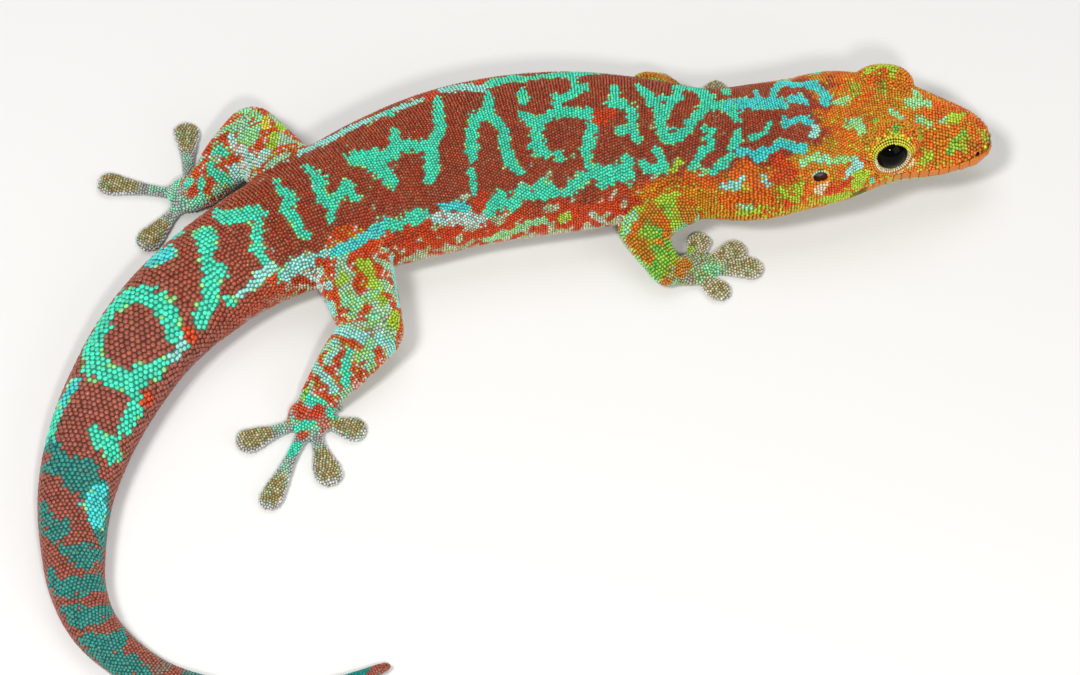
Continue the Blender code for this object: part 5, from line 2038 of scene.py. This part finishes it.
def ring_of(centre, axes, radii, width, lift, phase=0.0):
    """Places round an ellipse about as far apart as one bead, the ways along it and the angles."""
    count = round(math.pi * (radii[0] + radii[1]) / width)
    angles = turns(count) + phase * 2 * math.pi / count
    cosine = np.cos(angles)
    sine = np.sin(angles)
    places = centre + np.outer(cosine * radii[0], axes[0]) + np.outer(sine * radii[1], axes[1])
    ways = np.outer(-sine, axes[0]) + np.outer(cosine, axes[1])
    return places + axes[2] * lift, ways, angles


def shaded(names, shares, count):
    """Tints between two paints, by a share for each scale."""
    return toward(plain(names[0], count), names[1], shares)


LID_ROWS = ((1.8, 0.24), (2.02, 0.26), (2.26, 0.28))
LID_LIFT = 1.3
FAR_OFF = 4.0
EAR_BEAD = 0.24
EAR_GAP = 0.1
NOSTRIL_BEAD = 0.22
NOSTRIL_GAP = 0.1
NOSTRIL_LIFT = 0.05


def outer_skin(places, axis):
    """The outermost skin under places near an eye, seen along the way that the eye looks."""
    found = []
    for place in places:
        hit = skin_tree.ray_cast(Vector(place + axis * FAR_OFF), Vector(-axis))[0]
        found.append(place if hit is None else hit)
    return np.array(found)


def sizes_and_facings(angles, width, tints, out):
    """The sizes, tints and facings of beads round an opening that looks out one way."""
    sizes = np.full((len(angles), 3), width * BEAD_OVERLAP)
    return sizes, tints, np.tile(out, (len(angles), 1))


def lid_beads(side):
    """Three rows of beads round one eye."""
    centre, axes = eye_frame(side)
    rows = []
    for row, (radius, width) in enumerate(LID_ROWS):
        places, ways, angles = ring_of(centre, axes, (radius, radius), width, LID_LIFT, 0.5 * row)
        places = outer_skin(places, axes[2])
        above = ramp(np.sin(angles), -0.15, 0.35)
        tints = shaded(("cream" if row == 0 else "amber", "yellow"), above, len(angles))
        tints = toward(tints, "lime", chance(0.45, len(angles)) * above * 0.7)
        tints = toward(tints, "orange", chance(0.25 * min(row, 2), len(angles)) * 0.5)
        rows.append((places, ways, *sizes_and_facings(angles, width, tints, axes[2])))
    return [np.concatenate(values) for values in zip(*rows)]


def ear_beads(side):
    """One row of beads round an ear, bluer above it."""
    rim, axes = ear_frame(side)
    radii = (EAR_SIZE[0] + EAR_GAP, EAR_SIZE[1] + EAR_GAP)
    places, ways, angles = ring_of(rim, axes, radii, EAR_BEAD, EAR_GAP)
    tints = shaded(("orange", "sky"), ramp(np.sin(angles), 0.0, 0.5) * 0.8, len(angles))
    return places, ways, *sizes_and_facings(angles, EAR_BEAD, tints, axes[2])


def nostril_beads(side):
    """One row of beads round a nostril."""
    nostril = NOSTRILS[0 if side < 0 else 1]
    out = np.array(skin_tree_whole.find_nearest(nostril)[1])
    along = unit(np.cross(UP, out))
    axes = np.array([along, np.cross(out, along), out])
    radius = NOSTRIL_RADIUS + NOSTRIL_GAP
    places, ways, angles = ring_of(nostril, axes, (radius, radius), NOSTRIL_BEAD, NOSTRIL_LIFT)
    tints = shaded(("orange", "olive"), chance(0.4, len(angles)) * 0.8, len(angles))
    return places, ways, *sizes_and_facings(angles, NOSTRIL_BEAD, tints, out)


for seed, (name, beads) in enumerate((("lid", lid_beads), ("ear", ear_beads), ("nostril", nostril_beads))):
    for side, side_name in ((-1, "right"), (1, "left")):
        places, ways, sizes, tints, facings = beads(side)
        piece_name = f"{side_name}_{name}_beads"
        lay_on_skin(piece_name, places, ways, sizes, tints, FINE_BEAD, OPENING_SEED + seed, facings)

# %% [markdown]
# The lips.
#
# Each lip is one row of plates. The front plate of the upper lip sits on the tip of the snout, and the rest
# run back from it, longest beside the nostril and short at the corner of the mouth. The upper row gets lower
# towards the tip, and the lower row is narrow. A plate is one shape, a rounded oblong pillow, stretched to
# its place.

# %% Lip plates
LEAN_STEP = 0.05
LIP_ROWS = {
    # Height of the plates' middle from the mouth line, height of a plate, and its thickness.
    "upper": (-0.74, 1.18, 0.6),
    "lower": (0.38, 0.5, 0.5),
}
FRONT_PLATE = 1.5
LONGEST_PLATE = 1.35
PLATE_SHRINK = 0.955
CORNER_GAP = 0.2
WAY_STEP = 0.3


def plate_spans(reach):
    """Where the plates of one side begin and end, measured from the middle of the snout."""
    edges = [FRONT_PLATE / 2]
    length = LONGEST_PLATE
    while edges[-1] + length < reach:
        edges.append(edges[-1] + length)
        length *= PLATE_SHRINK
    return list(zip(edges, edges[1:]))


def lip_plates(row):
    """One row of plates along the mouth, from its right corner to its left one."""
    middle_height, height, thickness = LIP_ROWS[row]
    line = mouth_path()
    down = unit(mouth_path(LEAN_STEP) - mouth_path(-LEAN_STEP))
    steps = np.linalg.norm(np.diff(line, axis=0), axis=1)
    run = np.concatenate([[0.0], np.cumsum(steps)])
    run -= run[-1] / 2
    left = plate_spans(run[-1] - CORNER_GAP)
    right = [(-end, -start) for start, end in left[::-1]]
    spans = [*right, (-FRONT_PLATE / 2, FRONT_PLATE / 2), *left]
    middles = np.array([(start + end) / 2 for start, end in spans])

    def at(values, where):
        return np.stack([np.interp(where, run, values[:, k]) for k in range(3)], axis=1)

    share = lip_share(abs(middles)) if row == "upper" else np.ones(len(middles))
    places = at(line, middles) + at(down, middles) * (middle_height * share)[:, None]
    ways = unit(at(line, middles + WAY_STEP) - at(line, middles - WAY_STEP))
    lengths = np.array([end - start for start, end in spans])
    sizes = np.column_stack([lengths, height * share, np.full(len(spans), thickness)])
    back = abs(middles) / run[-1]
    if row == "upper":
        tints = shaded(("orange", "vermilion"), 0.1 + 0.3 * rng.random(len(spans)), len(spans))
        tints = toward(tints, "olive", 0.3)
        tints = toward(tints, "yellow", ramp(0.08 - back, 0.0, 0.05) * 0.5)
        tints = toward(tints, "lime", ramp(back, 0.72, 0.9) * chance(0.7, len(spans)) * 0.8)
    else:
        tints = shaded(("olive", "lime"), 0.3 + 0.4 * rng.random(len(spans)), len(spans))
        tints = toward(tints, "cream", 0.3)
    lay_on_skin(f"{row}_lip_plates", places, ways, sizes, tints, LIP_PLATE, LIP_SEED)


for row in LIP_ROWS:
    lip_plates(row)

# %% [markdown]
# The skin beneath.
#
# Between the scales a gecko shows thin skin of the same colours. Each corner of the skin takes the tint of
# its nearest scale, and its finish makes it darker as painted shade in the narrow gaps between the scales,
# so the marking is one, above and below. The hollows of the mouth, eyes, nostrils and ear walls get painted
# shadow, and the floor of each ear its own grey.

# %% Colour the skin
HOLLOW_MARGIN = 0.06
CUP_FLOOR = -0.75
CUP_SHADE = 0.8


def colour_skin():
    """The tint of the nearest scale at each corner of the skin, and shadow in the hollows of the head."""
    corners = read_points(skin.data)
    tree = tree_of(sites["place"])
    tints = sites["tint"][[tree.find(corner)[1] for corner in corners]]
    dark = (distance_to_path(corners, MOUTH)[0] < MOUTH_GROOVE + HOLLOW_MARGIN).astype(float)
    grey = np.zeros(len(corners))
    for side, nostril in zip((-1, 1), NOSTRILS):
        eye, axes = eye_frame(side)
        dark[np.linalg.norm(corners - eye, axis=1) < EYE_RADIUS + 2 * HOLLOW_MARGIN] = 1.0
        across = (corners - eye) @ axes.T
        dark[(np.hypot(across[:, 0], across[:, 1]) < LID_REACH) & (across[:, 2] > 0)] = 1.0
        dark[np.linalg.norm(corners - nostril, axis=1) < NOSTRIL_RADIUS + HOLLOW_MARGIN] = 1.0
        rim, ear_axes = ear_frame(side)
        local = (corners - rim) @ ear_axes.T / (*EAR_SIZE, EAR_DEPTH)
        depth = np.linalg.norm(local, axis=1)
        inside = depth < 1 + HOLLOW_MARGIN
        grey[inside & (local[:, 2] < CUP_FLOOR)] = 1.0
        dark[inside & (local[:, 2] >= CUP_FLOOR)] = CUP_SHADE
    tints = toward(toward(tints, "shadow", dark), "grey", grey)
    add_attribute(skin.data, "tint", "FLOAT_COLOR", tints)


colour_skin()
skin.data.materials.clear()
skin.data.materials.append(SKIN_FINISH_WITH_PAINTED_SHADE)
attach(skin, "root")
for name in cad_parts:
    if "eye" not in name:
        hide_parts(name)
print("skin coloured:", len(skin.data.vertices), "points")

# %% [markdown]
# The eyes.
#
# Under the photographer's lamp the pupil fills nearly the whole eye, so the ball is almost black, with a
# faint brown iris left at its edge. What makes it an eye is its gloss: a smooth wet ball mirrors the lamps.
# A ring of lid closes the gap between the ball and the skin, and rows of small beads climb from it to the
# innermost row on the lids.

# %% Eyes and lid rims
IRIS_START = 0.66
IRIS_END = 0.8
EYE_IOR = 1.17
RIM_RADIUS = 1.66
RIM_THICKNESS = 0.2
RIM_BEAD = 0.22
RIM_ROWS = 7
RIM_ROW_STEP = 0.18
RIM_TOP = 0.8
RIM_LIFT = math.sqrt(EYE_RADIUS**2 - RIM_RADIUS**2) + 0.05


def glossy_eye():
    """Black in the middle and dark brown towards the lids, by an attribute called edge, and wet."""
    material, tree, shader = new_finish("eye")
    edge = tree.add("ShaderNodeAttribute", output="Fac", attribute_name="edge")
    stops = [(0.0, paint("#030202")), (IRIS_START, paint("#050403")), (IRIS_END, paint("#2a1a10"))]
    colour = tree.add("ShaderNodeValToRGB", {"Fac": edge}, output="Color", stops=stops)
    material.node_tree.links.new(colour.socket, shader.inputs["Base Color"])
    shader.inputs["Roughness"].default_value = 0.05
    shader.inputs["IOR"].default_value = EYE_IOR
    return material


def add_ring(build, centre, axes, radius, thickness, around=64, sides=12):
    """A closed ring of round section."""
    rows = []
    for turn in turns(around):
        out = axes[0] * math.cos(turn) + axes[1] * math.sin(turn)
        row = []
        for tilt in turns(sides):
            level = axes[2] * thickness * math.sin(tilt)
            spot = centre + out * (radius + thickness * math.cos(tilt)) + level
            row.append(build.verts.new(spot))
        rows.append(row)
    for row, after in zip(rows, rows[1:] + rows[:1]):
        for i in range(sides):
            j = (i + 1) % sides
            build.faces.new((row[i], after[i], after[j], row[j]))


def eye_ball(side, name):
    """The ball in its socket."""
    centre, axes = eye_frame(side)
    build = bmesh.new()
    add_ball(build, centre, axes, [EYE_RADIUS] * 3, around=64, rows=32)
    ball = shown(f"{name}_ball", mesh_of(build, f"{name}_ball"))
    ball.data.materials.append(EYE_FINISH)
    local = (read_points(ball.data) - centre) @ axes.T
    edge = ball.data.attributes.new("edge", "FLOAT", "POINT")
    edge.data.foreach_set("value", np.hypot(local[:, 0], local[:, 1]) / EYE_RADIUS)
    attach(ball, "root")
    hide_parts(name)


def eye_rim(side, name):
    """The edge of the lids, between the ball and the skin, in painted shade that turns a little olive
    upwards.
    """
    centre, axes = eye_frame(side)
    build = bmesh.new()
    add_ring(build, centre + axes[2] * RIM_LIFT, axes, RIM_RADIUS, RIM_THICKNESS)
    rim = shown(f"{name}_rim", mesh_of(build, f"{name}_rim"))
    above = ((read_points(rim.data) - centre) @ axes[1]) / RIM_RADIUS
    # Painted shade: the ring is shadow paint mixed with olive, from a third to three fifths, more olive
    # above.
    tints = shaded(("shadow", "olive"), 0.35 + 0.25 * ramp(above, 0.0, 0.6), len(above))
    add_attribute(rim.data, "tint", "FLOAT_COLOR", tints)
    rim.data.materials.append(SCALE_FINISH)
    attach(rim, "root")


def rim_beads(side, name):
    """Rows of beads on the wall of the eye's opening, as far up as the skin round it."""
    centre, axes = eye_frame(side)
    widening = LID_ROWS[0][0] / RIM_RADIUS
    rows = []
    for row in range(RIM_ROWS):
        lift = RIM_LIFT + RIM_TOP * RIM_THICKNESS + row * RIM_ROW_STEP
        places, ways, angles = ring_of(centre, axes, (RIM_RADIUS, RIM_RADIUS), RIM_BEAD, lift, 0.5 * row)
        outer = (places - centre) @ axes.T * (widening, widening, 1)
        surface = (outer_skin(centre + outer @ axes, axes[2]) - centre) @ axes[2]
        below = (lift < surface) | (row == 0)
        inward = centre + axes[2] * lift - places
        facing = unit(axes[2] + unit(inward) * (0.0 if row == 0 else 1.0))
        rows.append([values[below] for values in (places, ways, facing, angles)])
    places, ways, facing, angles = [np.concatenate(values) for values in zip(*rows)]
    tints = shaded(("cream", "yellow"), ramp(np.sin(angles), -0.1, 0.3), len(angles))
    tints = toward(tints, "lime", chance(0.5, len(angles)) * ramp(np.sin(angles), 0.0, 0.4) * 0.6)
    tints = toward(tints, "olive", chance(0.4, len(angles)) * 0.6)
    sizes = np.full((len(angles), 3), RIM_BEAD * BEAD_OVERLAP)
    roots = np.column_stack([angles / (2 * math.pi), np.full(len(angles), HEAD_ROOTS)])
    name = f"{name}_rim_beads"
    beads = lay(name, places, facing, ways, sizes, tints, roots, FINE_BEAD, SMALL_WOBBLE, RIM_SEED)


EYE_FINISH = glossy_eye()
for side, name in ((-1, "right_eye"), (1, "left_eye")):
    eye_ball(side, name)
    eye_rim(side, name)
    rim_beads(side, name)
print("eyes: done")

# %% [markdown]
# Floor, light and camera.
#
# The model stands on a plain pale floor under four lamps, as in a museum's photograph: a key from
# the upper left, a fill from the right, one overhead, and a small one beside the camera that puts a spark
# in the eye and on each scale. The camera was set up at the start.

# %% Studio
FLOOR_REACH = 3.0
FLOOR_COLOUR = (0.72, 0.71, 0.69, 1.0)
FLOOR_ROUGHNESS = 0.85
SKY_COLOUR = (0.96, 0.98, 1.0, 1.0)
SKY_STRENGTH = 0.26

floor_mesh = bpy.data.meshes.new("floor")
corners = [(x * FLOOR_REACH, y * FLOOR_REACH, 0.0) for x, y in ((-1, -1), (1, -1), (1, 1), (-1, 1))]
floor_mesh.from_pydata(corners, [], [(0, 1, 2, 3)])
floor = shown("floor", floor_mesh)
floor_finish, _, shader = new_finish("studio floor")
shader.inputs["Base Color"].default_value = FLOOR_COLOUR
shader.inputs["Roughness"].default_value = FLOOR_ROUGHNESS
floor.data.materials.append(floor_finish)


def soft_lamp(name, place, size, power):
    """A square lamp turned to the model."""
    data = bpy.data.lights.new(name, "AREA")
    data.size = size
    data.energy = power
    lamp = bpy.data.objects.new(name, data)
    lamp.location = place
    lamp.rotation_euler = (-Vector(place)).to_track_quat("-Z", "Y").to_euler()
    bpy.context.scene.collection.objects.link(lamp)


CATCH_PLACE = tuple(CAMERA_BACK * 0.5 - CAMERA_UP * 0.06 + np.array([0.04, 0.0, 0.0]))
# Each lamp's place and the side of its square in metres, and its power in watts.
LAMPS = {
    "key": ((-0.16, -0.2, 0.42), 0.1, 1.5),
    "catch light": (CATCH_PLACE, 0.045, 1.1),
    "fill": ((0.4, -0.3, 0.3), 0.35, 0.7),
    "overhead": ((0.0, 0.25, 0.5), 0.4, 0.8),
}
for name, lamp in LAMPS.items():
    soft_lamp(name, *lamp)
world = bpy.data.worlds.new("studio")
world.use_nodes = True
background = world.node_tree.nodes["Background"]
background.inputs["Color"].default_value = SKY_COLOUR
background.inputs["Strength"].default_value = SKY_STRENGTH
bpy.context.scene.world = world
bpy.context.scene.view_settings.view_transform = "Standard"
